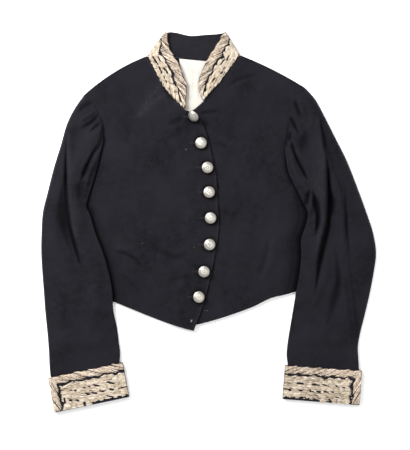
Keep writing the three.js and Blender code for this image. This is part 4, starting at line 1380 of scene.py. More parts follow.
@dataclass
class Embroidery(SubAssembly):
    """Padded metal-thread work: an edge border of slanting satin stitch and a laid field."""

    name: str
    seed: int
    border: float
    bare: float
    leaf: float
    slits: tuple[Slit, ...]
    margin: float = 0.7
    satin_pitch: float = 2.5
    slant: float = 27.0
    laid_pitch: float = 1.3
    specks: int = 20
    thread_width: float = 1.4
    thread_height: float = 0.6
    padding: float = 0.9
    satin_arch: float = 0.35
    laid_rise: float = 0.35
    laid_arch: float = 0.3

    def outer_edge(self, along: Array) -> Array:
        """Returns how far in from the cloth's edge the border starts: it bulges at each leaf."""
        share = (along / self.leaf + 0.12 * np.sin(along / 17)) % 1.0
        ragged = 0.4 * np.sin(along * 1.9) + 0.3 * np.sin(along * 3.7 + self.seed)
        bump = falloff(share - 0.14, 0.16) * (1 + 0.5 * np.sin(along / 11 + self.seed))
        return self.margin + 0.9 * share ** 1.5 - 1.4 * bump + ragged

    def inner_edge(self, along: Array) -> Array:
        """Returns how deep the border reaches, with an uneven inner line."""
        wave = 1.4 * np.sin(along / 5.5 + self.seed) + 1.1 * np.sin(along / 2.7 + 1)
        return self.border + wave + 0.7 * np.sin(along * 1.3)

    def bare_width(self, along: Array) -> Array:
        """Returns the width of the bare line between border and field, wider in places."""
        blots = 0.5 + 0.5 * np.sin(along / 4.3 + 2 * self.seed) * np.sin(along / 7.7 + 1)
        return self.bare * (0.65 + 1.2 * blots ** 2)

    def tone(self, needle: Needle, along: float) -> float:
        """Returns a border stitch's tone: a painted highlight where each leaf starts, and uneven.
        """
        leaf_highlight = math.exp(-(((along / self.leaf) % 1.0 - 0.1) / 0.12) ** 2)
        return 0.5 + 0.12 * leaf_highlight + needle.rng.normal(0, 0.1)

    def satin(
        self, needle: Needle, line: Array, ground: Array, share: Array, tone: float
    ) -> None:
        """Lays one slanting line of the border as short stitches that meet at uneven places.

        Args:
            needle: collects the stitches.
            line: plan points.
            ground: height of the cloth's face at each point.
            share: how far each point is across the border, which padding raises in its middle.
            tone: how bright the line is.
        """
        padded = ground + self.padding * np.sin(math.pi * share) ** 0.6
        at = 0
        while len(line) - at >= 3:
            stop = at + int(needle.rng.integers(5, 10))
            stop = len(line) if len(line) - stop < 3 else stop
            part = slice(at, stop)
            own_tone = tone + needle.rng.normal(0, 0.14)
            thread = Thread(self.thread_width, self.thread_height, own_tone, self.satin_arch)
            needle.lay(line[part], padded[part], thread)
            at = stop - 1

    def slanting(
        self, needle: Needle, along: float, low: float | Array, high: float,
        place: Callable[[Array, Array], Array],
        shifts: tuple[float, float] = (0.0, 0.0),
    ) -> None:
        """Lays one slanting line of the border, where it lies between its limits.

        Args:
            needle: collects the stitches.
            along: how far along the cloth's edge the line starts.
            low: the length along the edge below which its points are left out.
            high: the length beyond which they are left out.
            place: turns lengths along the edge and depths in from it into plan points.
            shifts: how far on the border's outer and inner edges are read.
        """
        t = np.linspace(0, 1, SATIN_POINTS)
        run = along + self.slant * t
        keep = (run > low) & (run < high)
        if keep.sum() < 3:
            return
        outer = float(self.outer_edge(np.array([along + shifts[0]]))[0])
        inner = float(self.inner_edge(np.array([along + shifts[1] + self.slant]))[0])
        line = place(run, outer + (inner - outer) * t)[keep]
        tone = self.tone(needle, along + shifts[0])
        self.satin(needle, line, self.ground(line), t[keep], tone)

    def fill(self, lines: list[Array], worked: list[Array]) -> Needle:
        """Lays the field line by line, round its gaps.

        Args:
            lines: plan points of each line.
            worked: whether each of those points is in the field.

        Returns:
            The needle that holds the field's stitches.
        """
        needle = Needle(self.seed + 1)
        slits = self.slits + self.scattered(lines)
        for line, inside in zip(lines, worked):
            for slit in slits:
                inside &= ~slit.holds(line)
            self.laid(needle, line, inside)
        return needle

    def laid(self, needle: Needle, line: Array, inside: Array) -> None:
        """Lays a line of the field as stitches of uneven length, broken where it isn't inside.

        Args:
            needle: collects the stitches.
            line: plan points.
            inside: whether each point is worked.
        """
        ground = self.ground(line) + self.laid_rise
        width = self.laid_pitch * 1.2
        edges = np.flatnonzero(np.diff(np.concatenate([[0], inside.astype(int), [0]])))
        for start, stop in zip(edges[::2], edges[1::2]):
            at = start
            while stop - at >= 3:
                take = int(needle.rng.uniform(9, 20) / THREAD_STEP)
                end = stop if stop - at - take < 4 else at + take
                part = slice(at, min(end + 1, stop))
                tone = 0.52 + needle.rng.normal(0, 0.17)
                thread = Thread(width, self.thread_height, tone, self.laid_arch)
                needle.lay(line[part], ground[part], thread)
                at = end

    def ground(self, points: Array) -> Array:
        """Returns the height of the cloth's face at plan points, by the kind of piece."""
        raise NotImplementedError

    def finish(
        self, border: Needle, middle: Needle, gilt: Material, pale_gilt: Material
    ) -> None:
        """Makes and dresses the border's and the field's pieces from their stitches."""
        for label, needle, material in (("border", border, gilt), ("field", middle, pale_gilt)):
            piece = needle.piece(f"{self.name}_{label}_work", material)
            self.keep(piece, Slot.EMBROIDERY, (f"{self.name}_{label}",))

    def scattered(self, lines: list[Array]) -> tuple[Slit, ...]:
        """Returns small gaps between worn threads, at places along the lines of the field."""
        rng = np.random.default_rng(self.seed + 100)
        slits = []
        for _ in range(self.specks):
            line = lines[rng.integers(len(lines))]
            at = rng.integers(2, len(line) - 6)
            reach = int(rng.integers(1, 5))
            half = float(rng.uniform(0.4, 0.75))
            slits.append(Slit(tuple(line[at]), tuple(line[at + reach]), half, worn=0.1))
        return tuple(slits)


@dataclass
class CollarWork(Embroidery):
    """The embroidery on one front of the collar."""

    side: Side = Side.RIGHT
    first_row: float = 0.12
    field_row: float = 0.14
    border_share: float = 0.52
    wrap: float = 3.0
    fold_radius: float = 3.6
    deepest: float = 60.0
    lead: float = 0.9

    def __post_init__(self) -> None:
        """Measures the band along its free edge."""
        self.numbers = np.linspace(0, len(self.side.top) - 1, 240)
        line = row_curve(self.side.top, self.numbers)
        self.gone = run_lengths(line)
        self.foot = np.asarray(self.side.neck[-1], float)
        run = np.asarray(self.side.top[-1], float) - self.foot
        self.out = np.array([-run[1], run[0]]) / np.linalg.norm(run) * self.side.sign

    def ends(self, along: Array) -> tuple[Array, Array]:
        """Returns the free edge's and the seam's points at lengths along the free edge."""
        rows = np.interp(along, self.gone, self.numbers)
        past = np.maximum(0, along - self.gone[-1])[:, None] * self.out
        return row_curve(self.side.top, rows) + past, row_curve(self.side.neck, rows) + past

    def at(self, along: Array, depth: Array) -> Array:
        """Returns plan points at lengths along the free edge and depths in from it."""
        top, neck = self.ends(along)
        width = np.linalg.norm(top - neck, axis=1)
        return top + (neck - top) * (depth / width)[:, None]

    def inner_edge(self, along: Array) -> Array:
        """Returns how deep the border reaches, less deep where the band is narrow."""
        return np.minimum(super().inner_edge(along), self.border_share * self.width(along))

    def bare_width(self, along: Array) -> Array:
        """Returns the width of the bare line, which thins out where the band is narrow."""
        return super().bare_width(along) * np.clip(self.width(along) / 30, 0.2, 1)

    def width(self, along: Array) -> Array:
        """Returns the band's width."""
        top, neck = self.ends(along)
        return np.linalg.norm(top - neck, axis=1)

    def ground(self, points: Array) -> Array:
        """Returns the height of the collar's face, which turns down round the side fold."""
        past = np.clip((points - self.foot) @ self.out, 0, self.fold_radius)
        drop = self.fold_radius - np.sqrt(self.fold_radius ** 2 - past ** 2)
        return self.side.slope(points) + COLLAR_WALL - drop

    def build(self, gilt: Material, pale_gilt: Material) -> None:
        """Makes and dresses the border and the field."""
        first = float(np.interp(self.first_row, self.numbers, self.gone))
        last = self.gone[-1] + self.wrap
        border = Needle(self.seed)
        for along in np.arange(first - self.slant * self.lead, last, self.satin_pitch):
            self.slanting(border, along, first, last, self.at)
        start_field = float(np.interp(self.field_row, self.numbers, self.gone))
        samples = np.arange(start_field, last, THREAD_STEP)
        top_line = self.inner_edge(samples) + self.bare_width(samples)
        depths = np.arange(float(top_line.min()), self.deepest, self.laid_pitch)
        lines = [self.at(samples, np.full(len(samples), depth)) for depth in depths]
        teeth = 0.9 * np.sin(samples * 1.7) + 0.6 * np.sin(samples * 0.6)
        seam_line = self.width(samples) - self.margin + teeth
        worked = [(depth > top_line) & (depth < seam_line) for depth in depths]
        self.finish(border, self.fill(lines, worked), gilt, pale_gilt)


@dataclass
class CuffWork(Embroidery):
    """The embroidery on one cuff: its border runs along the top and down the outer side."""

    corners: tuple = CUFF_RIGHT
    hem: float = 5.0
    hem_from: float = 0.52
    side_shifts: tuple[float, float] = (9.0, 40.0)
    lead: float = 0.7

    def __post_init__(self) -> None:
        """Measures the cuff."""
        outer_top, inner_top, outer_end, _ = (np.asarray(c, float) for c in self.corners)
        self.span = float(np.linalg.norm(inner_top - outer_top))
        self.drop = float(np.linalg.norm(outer_end - outer_top))

    def at(self, across: Array, down: Array) -> Array:
        """Returns plan points at lengths across and down the cuff."""
        return cuff_point(self.corners, across / self.span, down / self.drop)

    def at_side(self, down: Array, across: Array) -> Array:
        """Returns plan points at lengths down the outer side and depths in from it."""
        return self.at(across, down)

    def ground(self, points: Array) -> Array:
        """Returns the height of the cuff's face at plan points."""
        return np.full(len(points), CUFF_HEIGHT)

    def build(self, gilt: Material, pale_gilt: Material) -> None:
        """Makes and dresses the border and the field."""
        far, bottom = self.span + 0.2, self.drop - self.margin
        border = Needle(self.seed)
        before = self.slant * self.lead
        for along in np.arange(self.margin - before, far, self.satin_pitch):
            self.slanting(border, along, self.margin, far, self.at)
        corner = self.border * 0.5
        mitre = corner * np.linspace(0, 1, SATIN_POINTS)
        for along in np.arange(corner - before, bottom, self.satin_pitch):
            self.slanting(border, along, mitre, bottom, self.at_side, self.side_shifts)
        samples = np.arange(self.border, far, THREAD_STEP)
        top_line = self.inner_edge(samples) + self.bare_width(samples)
        depths = np.arange(self.border - 1, bottom, self.laid_pitch)
        lines = [self.at(samples, np.full(len(samples), down)) for down in depths]
        ragged = self.hem * (0.85 + 0.25 * np.sin(samples / 2.3) + 0.2 * np.sin(samples / 0.9))
        hemmed = samples > self.hem_from * self.span
        worked = []
        for down in depths:
            side = np.array([down + self.side_shifts[1]])
            side_line = self.inner_edge(side) + self.bare_width(side)
            inside = (down > top_line) & (samples > side_line)
            worked.append(inside & ~(hemmed & (down > bottom - ragged)))
        self.finish(border, self.fill(lines, worked), gilt, pale_gilt)


@dataclass(frozen=True)
class Button:
    """Where a button stands, how far it leans in degrees, and the direction it leans to."""

    at: tuple[float, float]
    tilt: float
    toward: float


BUTTONS = (
    Button((-30.4, 209.2), 46, 225), Button((-15.4, 156.8), 3, 200), Button((-2.4, 107.8), 5, 330),
    Button((0.8, 58.8), 4, 60), Button((3.6, 7.2), 6, 190), Button((1.8, -45.8), 4, 300),
    Button((-9.4, -99.8), 7, 250), Button((-19.6, -150.2), 5, 20),
)


@dataclass
class ButtonRow(SubAssembly):
    """Domed plated buttons with a beaded rim and a plain rosette, each on its shank."""

    radius: float = 11.7
    dome: float = 4.6
    rim: float = 0.9
    shank_radius: float = 2.6
    shank: float = 2.2
    petals: int = 8
    beads: int = 30
    sides: int = 120
    rings: int = 40
    boss: float = 0.5
    beading: float = 0.42
    dark_under: float = 0.3
    darkest: float = 0.62

    def relief(self, share: Array, angle: Array) -> Array:
        """Returns the raised pattern's height at shares of the radius and angles."""
        boss = self.boss * falloff(share, 0.11, 4)
        petal = np.abs(np.cos(angle * self.petals / 2)) ** 0.7
        grown = smooth(0.15, 0.25, share) * (1 - smooth(0.44, 0.62, share))
        leaves = self.beading * petal * grown
        ring = 0.3 * falloff(share - 0.7, 0.025)
        bead = np.maximum(0, np.cos(angle * self.beads)) ** 0.8
        beading = self.beading * bead * falloff(share - 0.87, 0.05, 4)
        return boss + leaves + ring + beading

    def build(self, silver: Material) -> None:
        """Makes and dresses the buttons."""
        shares = np.concatenate([np.linspace(0.0, 0.98, self.rings)[1:], [1.0]])
        angle = np.linspace(0, 2 * math.pi, self.sides, endpoint=False)
        share, turn = np.meshgrid(shares, angle, indexing="ij")
        raised = self.relief(share, turn)
        foot = self.shank + self.rim
        height = foot + self.dome * np.sqrt(np.maximum(0, 1 - share ** 2)) + raised
        stem = self.shank_radius / self.radius
        back = [
            (0.97, self.shank + 0.35), (0.9, self.shank), (0.5, self.shank - 0.1),
            (stem, self.shank), (stem, 0.0),
        ]
        radii = np.vstack([share, *(np.full((1, self.sides), r) for r, _ in back)])
        heights = np.vstack([height, *(np.full((1, self.sides), z) for _, z in back)])
        turns = np.vstack([turn, *(angle[None] for _ in back)])
        rows = len(radii)
        reach = self.radius * radii
        points = np.dstack([reach * np.cos(turns), reach * np.sin(turns), heights])
        crown = foot + self.dome + self.boss
        points = np.vstack([points.reshape(-1, 3), [0, 0, crown], [0, 0, 0]])
        index = np.arange(rows * self.sides).reshape(rows, self.sides)
        on = np.roll(index, -1, axis=1)
        quads = np.stack([index[:-1], on[:-1], on[1:], index[1:]], axis=-1).reshape(-1, 4)
        top, end = (np.full(self.sides, len(points) - k) for k in (2, 1))
        crown_fan = np.stack([top, top, on[0], index[0]], axis=-1)
        foot_fan = np.stack([index[-1], on[-1], end, end], axis=-1)
        faces = np.concatenate([quads, crown_fan, foot_fan])
        recess = np.ones(len(points))
        recess[: raised.size] = 1 - np.clip(raised.ravel() / self.dark_under, 0, 1)
        recess = recess * self.darkest
        for number, button in enumerate(BUTTONS, 1):
            self.place(number, button, points, faces, recess, silver)

    def place(
        self, number: int, button: Button, points: Array, faces: Array,
        recess: Array, silver: Material,
    ) -> None:
        """Leans one button on its shank and sets it where its CAD node stands.

        Args:
            number: the button's number from the collar down.
            button: its place and lean.
            points: the upright button's points.
            faces: its quads.
            recess: how dark each point is.
            silver: its finish.
        """
        toward = math.radians(button.toward)
        hinge = Vector((-math.sin(toward), math.cos(toward), 0))
        lean = np.asarray(Matrix.Rotation(math.radians(button.tilt), 3, hinge))
        spin = np.asarray(Matrix.Rotation(0.7 * number, 3, "Z"))
        pivot = np.array([0, 0, self.shank + self.rim])
        turned = (points @ spin.T - pivot) @ lean.T
        node = f"button_{number}"
        low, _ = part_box(node)
        turned += np.array([*button.at, low[2] / MM - turned[:, 2].min()])
        piece = Mesher.make(f"{node}_silver", turned, faces, silver, {"recess": recess})
        self.keep(piece, Slot.SILVER, (node,))


@dataclass
class Sewing(SubAssembly):
    """Edge stitching, worked buttonholes, a cut thread and a little lint on the fronts."""

    right: FrontPanel
    left: FrontPanel
    pitch: float = 3.4
    edge_inset: float = 5.0
    hole_length: float = 25.0
    hole_pitch: float = 0.8
    running: Thread = Thread(0.45, 0.22, 0.4, 0.1, 4)
    lip: Thread = Thread(0.8, 0.35, 0.5, 0.25, 4)
    right_from: int = 47
    left_from: int = 60
    right_hem: float = 0.97
    left_hem: float = 0.75
    cut_thread: tuple[float, float] = (-34.6, -197.2)
    cut_ends: int = 11
    fibres: int = 14
    specks: tuple[tuple[float, float, float], ...] = (
        (-132, -43.2, 1.6), (-29, -51.2, 1.5), (15, 89.8, 1.2), (-45, 143.8, 3.6),
        (-7, -177.2, 2.2), (-2.5, -177.6, 2.0), (-21, 150, 0.9),
    )

    def seam(self, needle: Needle, panel: FrontPanel, line: Array) -> None:
        """Lays a running stitch along a line of plan points."""
        for start in np.arange(2, run_lengths(line)[-1] - 3, self.pitch):
            part = at_lengths(line, start + np.linspace(0, self.pitch * 0.62, 4))
            part += needle.rng.normal(0, 0.08, 2)
            needle.lay(part, panel.top(part) - 0.12, self.running)

    def build(self, dark: Material, pale: Material) -> None:
        """Makes and dresses the sewing."""
        needle = Needle(61)
        for panel, first, shown in (
            (self.right, self.right_from, self.right_hem),
            (self.left, self.left_from, self.left_hem),
        ):
            inward = panel.side_line - panel.edge_line
            inward /= np.linalg.norm(inward, axis=1)[:, None]
            line = panel.edge_line + inward * self.edge_inset
            self.seam(needle, panel, line[first:-1])
            self.seam(needle, panel, panel.hem(np.linspace(0.03, shown, 120), self.edge_inset))
        for button in BUTTONS:
            self.buttonhole(needle, button)
        piece = needle.piece("front_sewing", dark)
        self.keep(piece, Slot.WOOL)
        self.tuft(pale)

    def buttonhole(self, needle: Needle, button: Button) -> None:
        """Works a buttonhole: close stitches across both lips of a slot behind the button."""
        at = np.asarray(button.at)
        for offset in np.arange(-2, self.hole_length - 2, self.hole_pitch):
            for way in (-1, 1):
                start = at + (-offset, way * 0.15)
                end = at + (-offset + needle.rng.normal(0, 0.1), way * 2.1)
                line = np.linspace(start, end, 4)
                needle.lay(line, self.right.top(line) - 0.1, self.lip)

    def tuft(self, pale: Material) -> None:
        """Leaves the cut thread of a lost button, and scattered lint."""
        needle = Needle(77)
        rng = needle.rng
        base = np.asarray(self.cut_thread)
        for _ in range(self.cut_ends):
            angle = rng.uniform(0, 2 * math.pi)
            turn = angle + rng.uniform(-1.2, 1.2)
            reach = rng.uniform(1.2, 3.4)
            bend = base + 0.5 * reach * np.array([math.cos(angle), math.sin(angle)])
            tip = base + reach * np.array([math.cos(turn), math.sin(turn)])
            line = np.array([base, bend, tip])
            line += rng.normal(0, 0.4, 2)
            thread = Thread(0.5, 0.4, 0.6, rng.uniform(0.4, 1.4), 6)
            needle.lay(line, self.right.top(line), thread)
        for x, y, size in self.specks:
            self.fibre(needle, np.array([x, y]), size, 0.5)
        for _ in range(self.fibres):
            x, y = rng.uniform(-200, 150), rng.uniform(-150, 230)
            self.fibre(needle, np.array([x, y]), rng.uniform(0.6, 2.0), 0.12)
        piece = needle.piece("cut_thread_and_lint", pale)
        self.keep(piece, Slot.WOOL)

    def fibre(self, needle: Needle, at: Array, size: float, width: float) -> None:
        """Drops one curved fibre on the front that it falls on."""
        rng = needle.rng
        over = outside(at[None], self.right.outline)[0] == 0
        panel = self.right if over else self.left
        if outside(at[None], panel.outline)[0] > 0:
            return
        angle = rng.uniform(-0.7, 0.7)
        way = np.array([math.cos(angle), math.sin(angle)])
        bend = np.array([-way[1], way[0]]) * rng.uniform(-0.3, 0.3) * size
        line = np.array([at - way * size / 2, at + bend, at + way * size / 2])
        needle.lay(line, panel.top(line), Thread(width, width * 0.8, 0.5, 0.1, 6))


@dataclass(frozen=True)
class SoftLight:
    """A square soft light: where it stands and its size in metres, and its power in watts."""

    name: str
    at: tuple[float, float, float]
    size: float
    power: float


@dataclass
class Studio:
    """A pale table, a bright surround, two large soft lights, and the camera over the coatee."""

    centre: tuple[float, float] = (-0.0075, -0.0068)
    frame_height: float = 0.90
    distance: float = 3.0
    sensor: float = 36.0
    floor_size: float = 12.0
    floor_drop: float = 0.0004
    surround: float = 0.86
    lights: tuple[SoftLight, ...] = (
        SoftLight("key", (-1.6, 1.4, 1.4), 1.0, 116), SoftLight("fill", (1.6, -0.6, 2.2), 2.4, 22),
    )

    def build(self) -> None:
        """Makes the floor, the lights and the camera."""
        half = self.floor_size / 2
        mesh = bpy.data.meshes.new("table_top")
        corners = [(-half, -half), (half, -half), (half, half), (-half, half)]
        mesh.from_pydata([(x, y, -self.floor_drop) for x, y in corners], [], [(0, 1, 2, 3)])
        mesh.materials.append(FloorFinish().make())
        floor = bpy.data.objects.new("table_top", mesh)
        bpy.context.scene.collection.objects.link(floor)
        for light in self.lights:
            self.shine(light)
        world = bpy.data.worlds.new("surround")
        world.use_nodes = True
        background = world.node_tree.nodes["Background"]
        background.inputs[0].default_value = (1, 1, 1, 1)
        background.inputs[1].default_value = self.surround
        bpy.context.scene.world = world
        bpy.context.scene.view_settings.view_transform = "Standard"
        self.camera()

    def shine(self, light: SoftLight) -> None:
        """Adds a light that faces the coatee."""
        data = bpy.data.lights.new(light.name, "AREA")
        data.size, data.energy = light.size, light.power
        lamp = bpy.data.objects.new(light.name, data)
        lamp.location = light.at
        toward = Vector((*self.centre, 0)) - Vector(light.at)
        lamp.rotation_mode = "QUATERNION"
        lamp.rotation_quaternion = toward.to_track_quat("-Z", "Y")
        bpy.context.scene.collection.objects.link(lamp)

    def camera(self) -> None:
        """Sets the camera straight over the coatee, framed as the photograph is."""
        data = bpy.data.cameras.new("overhead")
        data.sensor_width = self.sensor
        data.lens = self.sensor * self.distance / self.frame_height
        data.clip_end = 20
        overhead = bpy.data.objects.new("overhead", data)
        overhead.location = (*self.centre, self.distance)
        bpy.context.scene.collection.objects.link(overhead)
        bpy.context.scene.camera = overhead


BODY_RIGHT_FOLDS = (
    Fold(((-46, 214), (-62, 200), (-86, 192)), -2.0, 3.5, 5),
    Fold(((-44, 206), (-70, 188), (-104, 180)), 1.2, 6, 7),
    Fold(((-44, 196), (-66, 172), (-90, 162)), -1.2, 5, 6),
    Fold(((-60, 238), (-78, 250), (-96, 276)), -1.8, 3, 5),
    Fold(((-199, -60), (-167, -65), (-147, -75), (-130, -98)), -2.0, 4, 2.6, fade=0.3),
    Fold(((-196, -50), (-164, -56), (-138, -70), (-118, -92)), 2.4, 6, 9),
    Fold(((-179, -106), (-162, -114), (-148, -132)), -1.3, 3.5, 4),
    Fold(((-110, -50), (-68, -72), (-36, -62)), -1.3, 4, 6),
    Fold(((-112, -42), (-70, -62), (-38, -52)), 1.2, 6, 6),
    Fold(((-88, -124), (-56, -112), (-30, -104)), -1.2, 4, 5),
    Fold(((-96, -140), (-60, -134), (-32, -120)), 1.0, 5, 6),
    Fold(((-190, 214), (-170, 202), (-150, 186)), 1.6, 12, 16),
    Fold(((-60, 150), (-35, 160), (-22, 157)), 0.9, 4, 8),
    Fold(((-60, 96), (-30, 104), (-8, 107)), 0.8, 5, 4),
    Fold(((-52, 0), (-24, 8), (0, 6)), 0.9, 6, 4),
    Fold(((-150, 60), (-140, -10), (-120, -120)), 1.0, 22, 34),
    Fold(((-241, 36), (-235, 20), (-229, -6)), -5.0, 6, 6, fade=0.4),
)
BODY_LEFT_FOLDS = (
    Fold(((120, -30), (117, -55), (108, -88), (92, -122)), -1.2, 3.5, 6, fade=0.35),
    Fold(((134, -24), (124, -80), (106, -124)), 1.6, 8, 10),
    Fold(((62, 150), (90, 136), (120, 118)), 1.3, 12, 18),
    Fold(((40, -140), (60, -60), (66, 20)), 1.2, 14, 20),
    Fold(((-22, 214), (0, 219), (30, 222)), -1.8, 3, 4),
    Fold(((36, 270), (70, 288), (104, 294)), -1.4, 3.5, 5),
    Fold(((40, 262), (72, 278), (108, 284)), 1.2, 5, 7),
    Fold(((4, 158), (24, 154), (46, 146)), -1.1, 3.5, 5),
    Fold(((30, 100), (60, 96), (95, 84)), 0.8, 5, 9),
    Fold(((28, -4), (60, -12), (90, -28)), 0.8, 8, 5),
)
SLEEVE_RIGHT_FOLDS = (
    Fold(
        ((-279, 204), (-279, 133), (-277, 93), (-277, 49), (-273, 13), (-266, -19), (-254, -56)),
        7.6, 16, 4, fade=0.2,
    ),
    Fold(
        ((-284, 176), (-284.5, 121), (-283, 49), (-279.5, 13), (-272, -27), (-261, -67),
         (-251, -104)),
        -6.4, 3.6, 4.2, fade=0.3,
    ),
    Fold(((-289, 96), (-291, 44), (-288, 0), (-280, -36), (-266, -76)), -4.4, 7, 10, fade=0.5),
    Fold(
        ((-211, 190), (-217, 157), (-232, 133), (-245, 105), (-256, 78)), -7.0, 2.6, 2.6, 1.6, 0.2
    ),
    Fold(((-214, 150), (-224, 124), (-238, 96), (-246, 56)), 3.4, 5, 5),
    Fold(((-255, 84), (-258, 64), (-258, 36)), -2.2, 7, 7, fade=0.5),
    Fold(((-216, 222), (-227, 204), (-243, 192), (-262, 182)), -3.2, 3.6, 3.6, 1.8, 0.45),
    Fold(((-224, 226), (-238, 212), (-258, 202)), 2.6, 5, 5),
    Fold(((-213, 200), (-224, 190), (-240, 176)), -3.6, 2.8, 2.8, 1.6, 0.4),
    Fold(((-229, 243), (-240, 234), (-252, 226)), -2.6, 4.4, 4.4, fade=0.5),
    Fold(((-243, 234), (-254, 224), (-258, 214)), -2.0, 4, 4, fade=0.5),
    Fold(((-240, 246), (-250, 238), (-262, 230)), 2.0, 5, 6),
    Fold(((-262, 196), (-268, 180), (-266, 160)), -1.6, 8, 8, fade=0.5),
    Fold(((-240, -120), (-232, -180), (-238, -235)), 2.2, 12, 20),
    Fold(((-300, -150), (-296, -180), (-292, -220)), 2.4, 10, 16),
    Fold(((-322, 10), (-300, -60), (-262, -120)), 1.6, 10, 16),
)
SLEEVE_LEFT_FOLDS = (
    Fold(((170, 246), (176, 229), (186, 202)), -4.4, 3.4, 3.4, 1.8, 0.4),
    Fold(((180, 246), (186, 226), (194, 204)), 2.8, 5, 5),
    Fold(((163, 212), (169, 197), (182, 172)), -5.0, 2.8, 2.8, 1.8, 0.35),
    Fold(((171, 214), (178, 198), (188, 184)), 2.6, 4, 4),
    Fold(((196, 192), (192, 170), (187, 148), (186, 128)), -2.6, 9, 9, fade=0.5),
    Fold(((164, 180), (162, 170), (160, 158)), -4.6, 2.4, 2.4, fade=0.3),
    Fold(((165, 162), (168, 146), (176, 125), (187, 103), (198, 80)), -7.0, 2.6, 2.6, 1.7, 0.22),
    Fold(((207, 66), (213, 38), (218, 14), (217, -6), (211, -32)), -7.6, 4.4, 4.4, 2.2, 0.3),
    Fold(((201, 64), (196, 46), (190, 28)), -6.0, 4.2, 4.2, fade=0.35),
    Fold(((159, 150), (166, 114), (180, 84), (198, 60), (203, 36), (196, 4)), 4.0, 6, 6, fade=0.12),
    Fold(
        ((219, 222), (225, 173), (229, 133), (231.8, 93), (231.8, 33), (231, -7), (224, -52),
         (212, -88)),
        8.4, 3.6, 14, fade=0.2,
    ),
    Fold(((222, 206), (228, 168), (232, 136)), -3.4, 2.6, 2.6),
    Fold(
        ((235, 134), (237.5, 96), (239.5, 60), (239.5, 28), (236, -8), (226, -52), (218, -107),
         (210, -156)),
        -7.6, 4.2, 4.2, fade=0.26,
    ),
    Fold(((241, 70), (245, 36), (241, 0)), -5.0, 7, 7, fade=0.45),
    Fold(((230, 146), (240, 118), (246, 104)), 3.2, 5, 5),
    Fold(((236, 128), (254, 81), (262, 49), (267, -7), (271, -60)), 4.0, 5, 12),
    Fold(((271, 82), (274, 30), (275.5, -7), (279, -47), (283, -90)), -2.8, 3.2, 3.6, fade=0.45),
    Fold(((276, -70), (281, -127), (289, -187), (297, -248)), 3.4, 3.6, 11),
    Fold(((272, -96), (276, -135), (284, -190), (291, -244)), -1.1, 5, 5, fade=0.3),
    Fold(
        ((250, -34), (256, -75), (260, -118), (252, -158), (240, -195), (229, -228)),
        -3.4, 6, 8, fade=0.5,
    ),
    Fold(((241, -60), (231, -107), (216, -150), (206, -174)), 3.0, 9, 9),
    Fold(((250, -170), (240, -200), (228, -230)), 1.6, 8, 8),
    Fold(((300, 60), (316, 0), (318, -60)), 1.4, 8, 12),
)
SCUFFS = (((-97, 273), (-117, 247), (-139, 211)), ((-87, 253), (-112, 238), (-129, 219)))

CUFF_RIGHT_SLITS = (
    Slit((-202, -320), (-190, -323), 1.3), Slit((-230, -325.5), (-219, -328), 1.1),
    Slit((-239, -329), (-238, -329.3), 0.8), Slit((-249, -331), (-247.5, -331.3), 0.8),
    Slit((-267, -336), (-265, -336.8), 1.0), Slit((-274.5, -336.5), (-273, -337), 0.8),
    Slit((-244, -343), (-238, -344.5), 1.3), Slit((-231, -341.5), (-224, -343), 1.3),
    Slit((-217, -337.5), (-210, -339), 1.2), Slit((-196, -334), (-191, -335.5), 1.3),
    Slit((-178, -332), (-160, -328), 1.2), Slit((-277, -356), (-274, -357), 1.3),
    Slit((-263, -356), (-260.5, -357.5), 1.2), Slit((-248, -360), (-246, -368), 1.2),
    Slit((-202, -347.5), (-192, -349.5), 0.8), Slit((-288, -352), (-287, -362), 0.9),
)
CUFF_LEFT_SLITS = (
    Slit((177, -322), (188, -323.5), 1.3), Slit((208, -324.5), (219, -326), 1.2),
    Slit((229, -325.5), (234, -327), 0.8), Slit((254.5, -328), (257, -329.5), 0.9),
    Slit((260, -329.8), (261.5, -330), 0.8), Slit((268, -330.5), (271, -332), 0.8),
    Slit((149, -333.5), (163, -335), 1.2), Slit((181, -336), (185, -337), 1.2),
    Slit((203, -338.5), (208, -339.5), 1.2), Slit((217, -338.8), (222, -340), 1.3),
    Slit((231, -339), (237, -340.5), 1.2), Slit((246, -339.8), (248, -340), 0.8),
    Slit((255, -350.5), (258.5, -351), 1.0), Slit((241, -355), (243, -360), 1.1),
    Slit((184, -350.5), (193, -351.5), 0.8), Slit((282, -347), (283, -356), 0.9),
)
COLLAR_RIGHT_SLITS = (
    Slit((-111, 328), (-102, 314), 1.2), Slit((-100.5, 328), (-96.5, 321.5), 1.0),
    Slit((-99, 308), (-94, 297), 1.2), Slit((-89, 305.5), (-82, 296), 1.1),
    Slit((-89, 288), (-88.5, 287.5), 1.0), Slit((-85, 279), (-84.5, 278.5), 1.0),
)
COLLAR_LEFT_SLITS = (
    Slit((30.5, 323), (25, 314), 1.1), Slit((31, 306), (30, 305), 1.0),
    Slit((26.5, 297), (25.5, 296), 1.0), Slit((40, 330), (36, 322), 1.0),
    Slit((12, 286), (8, 280), 1.0),
)


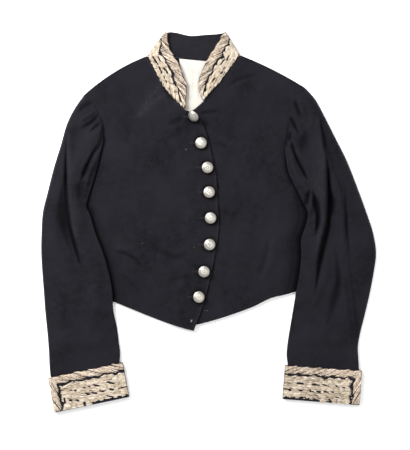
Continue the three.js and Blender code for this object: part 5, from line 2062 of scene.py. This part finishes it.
def main() -> None:
    """Builds the coatee piece by piece, then the studio."""
    logging.basicConfig(level=logging.INFO, format="%(name)s %(message)s")
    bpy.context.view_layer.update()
    wool = WoolFinish().make()
    cotton = LiningFinish().make()
    gilt = MetalThreadFinish().make()
    pale_gilt = MetalThreadFinish(
        "pale_gilt_thread", dull=(92, 77, 60), middle=(196, 180, 159), bright=(235, 227, 211)
    ).make()
    silver = SilverFinish().make()
    dark_thread = SewingThreadFinish("black_thread", (14, 13, 16), (34, 33, 38)).make()
    pale_thread = SewingThreadFinish("grey_thread", (105, 103, 100), (156, 152, 145)).make()

    left = FrontPanel(
        "front_left", FRONT_LEFT_SIDE, FRONT_LEFT_EDGE, 3.5, BODY_LEFT_FOLDS,
        (Undulation(11, 0.5, 40, 150), Undulation(12, 0.14, 9, 26)), Cut(0.245, 0.541, 0.110),
        hem_sag=4.6, hem_rise=4.4,
    )
    right = FrontPanel(
        "front_right", FRONT_RIGHT_SIDE, FRONT_RIGHT_EDGE, 7, BODY_RIGHT_FOLDS,
        (Undulation(13, 0.5, 40, 150), Undulation(14, 0.14, 9, 26)), Cut(0.276, 0.549, 0.124),
        under=left, hem_sag=3.6, scuffs=SCUFFS, sleeve_edge=SLEEVE_RIGHT_INNER, valley=5.6,
    )
    built = [
        (BackPanel(right, left, Cut(0.456, 0.55, 0.212)), (wool,)),
        (NeckLining(Cut(0.062, 0.117, 0.0056)), (cotton,)),
        (left, (wool,)),
        (right, (wool,)),
        (Sleeve("sleeve_right", SLEEVE_RIGHT_OUTER, SLEEVE_RIGHT_INNER, right, SLEEVE_RIGHT_FOLDS,
                (Undulation(21, 0.7, 45, 160), Undulation(22, 0.2, 10, 30)),
                Cut(0.29, 0.64, 0.142)), (wool,)),
        (Sleeve("sleeve_left", SLEEVE_LEFT_OUTER, SLEEVE_LEFT_INNER, left, SLEEVE_LEFT_FOLDS,
                (Undulation(23, 0.7, 45, 160), Undulation(24, 0.2, 10, 30)),
                Cut(0.30, 0.64, 0.150)), (wool,)),
        (Cuff("cuff_right", CUFF_RIGHT, Cut(0.32, 0.072, 0.0226), 41), (wool,)),
        (Cuff("cuff_left", CUFF_LEFT, Cut(0.325, 0.07, 0.0222), 42), (wool,)),
        (Collar(Cut(0.50, 0.056, 0.0236)), (wool,)),
        (CollarWork("collar_right", 3, 17.5, 4.1, 22, COLLAR_RIGHT_SLITS, side=Side.RIGHT),
         (gilt, pale_gilt)),
        (CollarWork("collar_left", 8, 17.5, 4.1, 22, COLLAR_LEFT_SLITS, side=Side.LEFT),
         (gilt, pale_gilt)),
        (CuffWork("cuff_right", 15, 14.5, 4.4, 26, CUFF_RIGHT_SLITS, corners=CUFF_RIGHT),
         (gilt, pale_gilt)),
        (CuffWork("cuff_left", 19, 14.5, 4.4, 26, CUFF_LEFT_SLITS, corners=CUFF_LEFT),
         (gilt, pale_gilt)),
        (ButtonRow(), (silver,)),
        (Sewing(right, left), (dark_thread, pale_thread)),
    ]
    for assembly, finishes in built:
        assembly.build(*finishes)
        assembly.report()
    Studio().build()


if __name__ == "__main__":
    main()
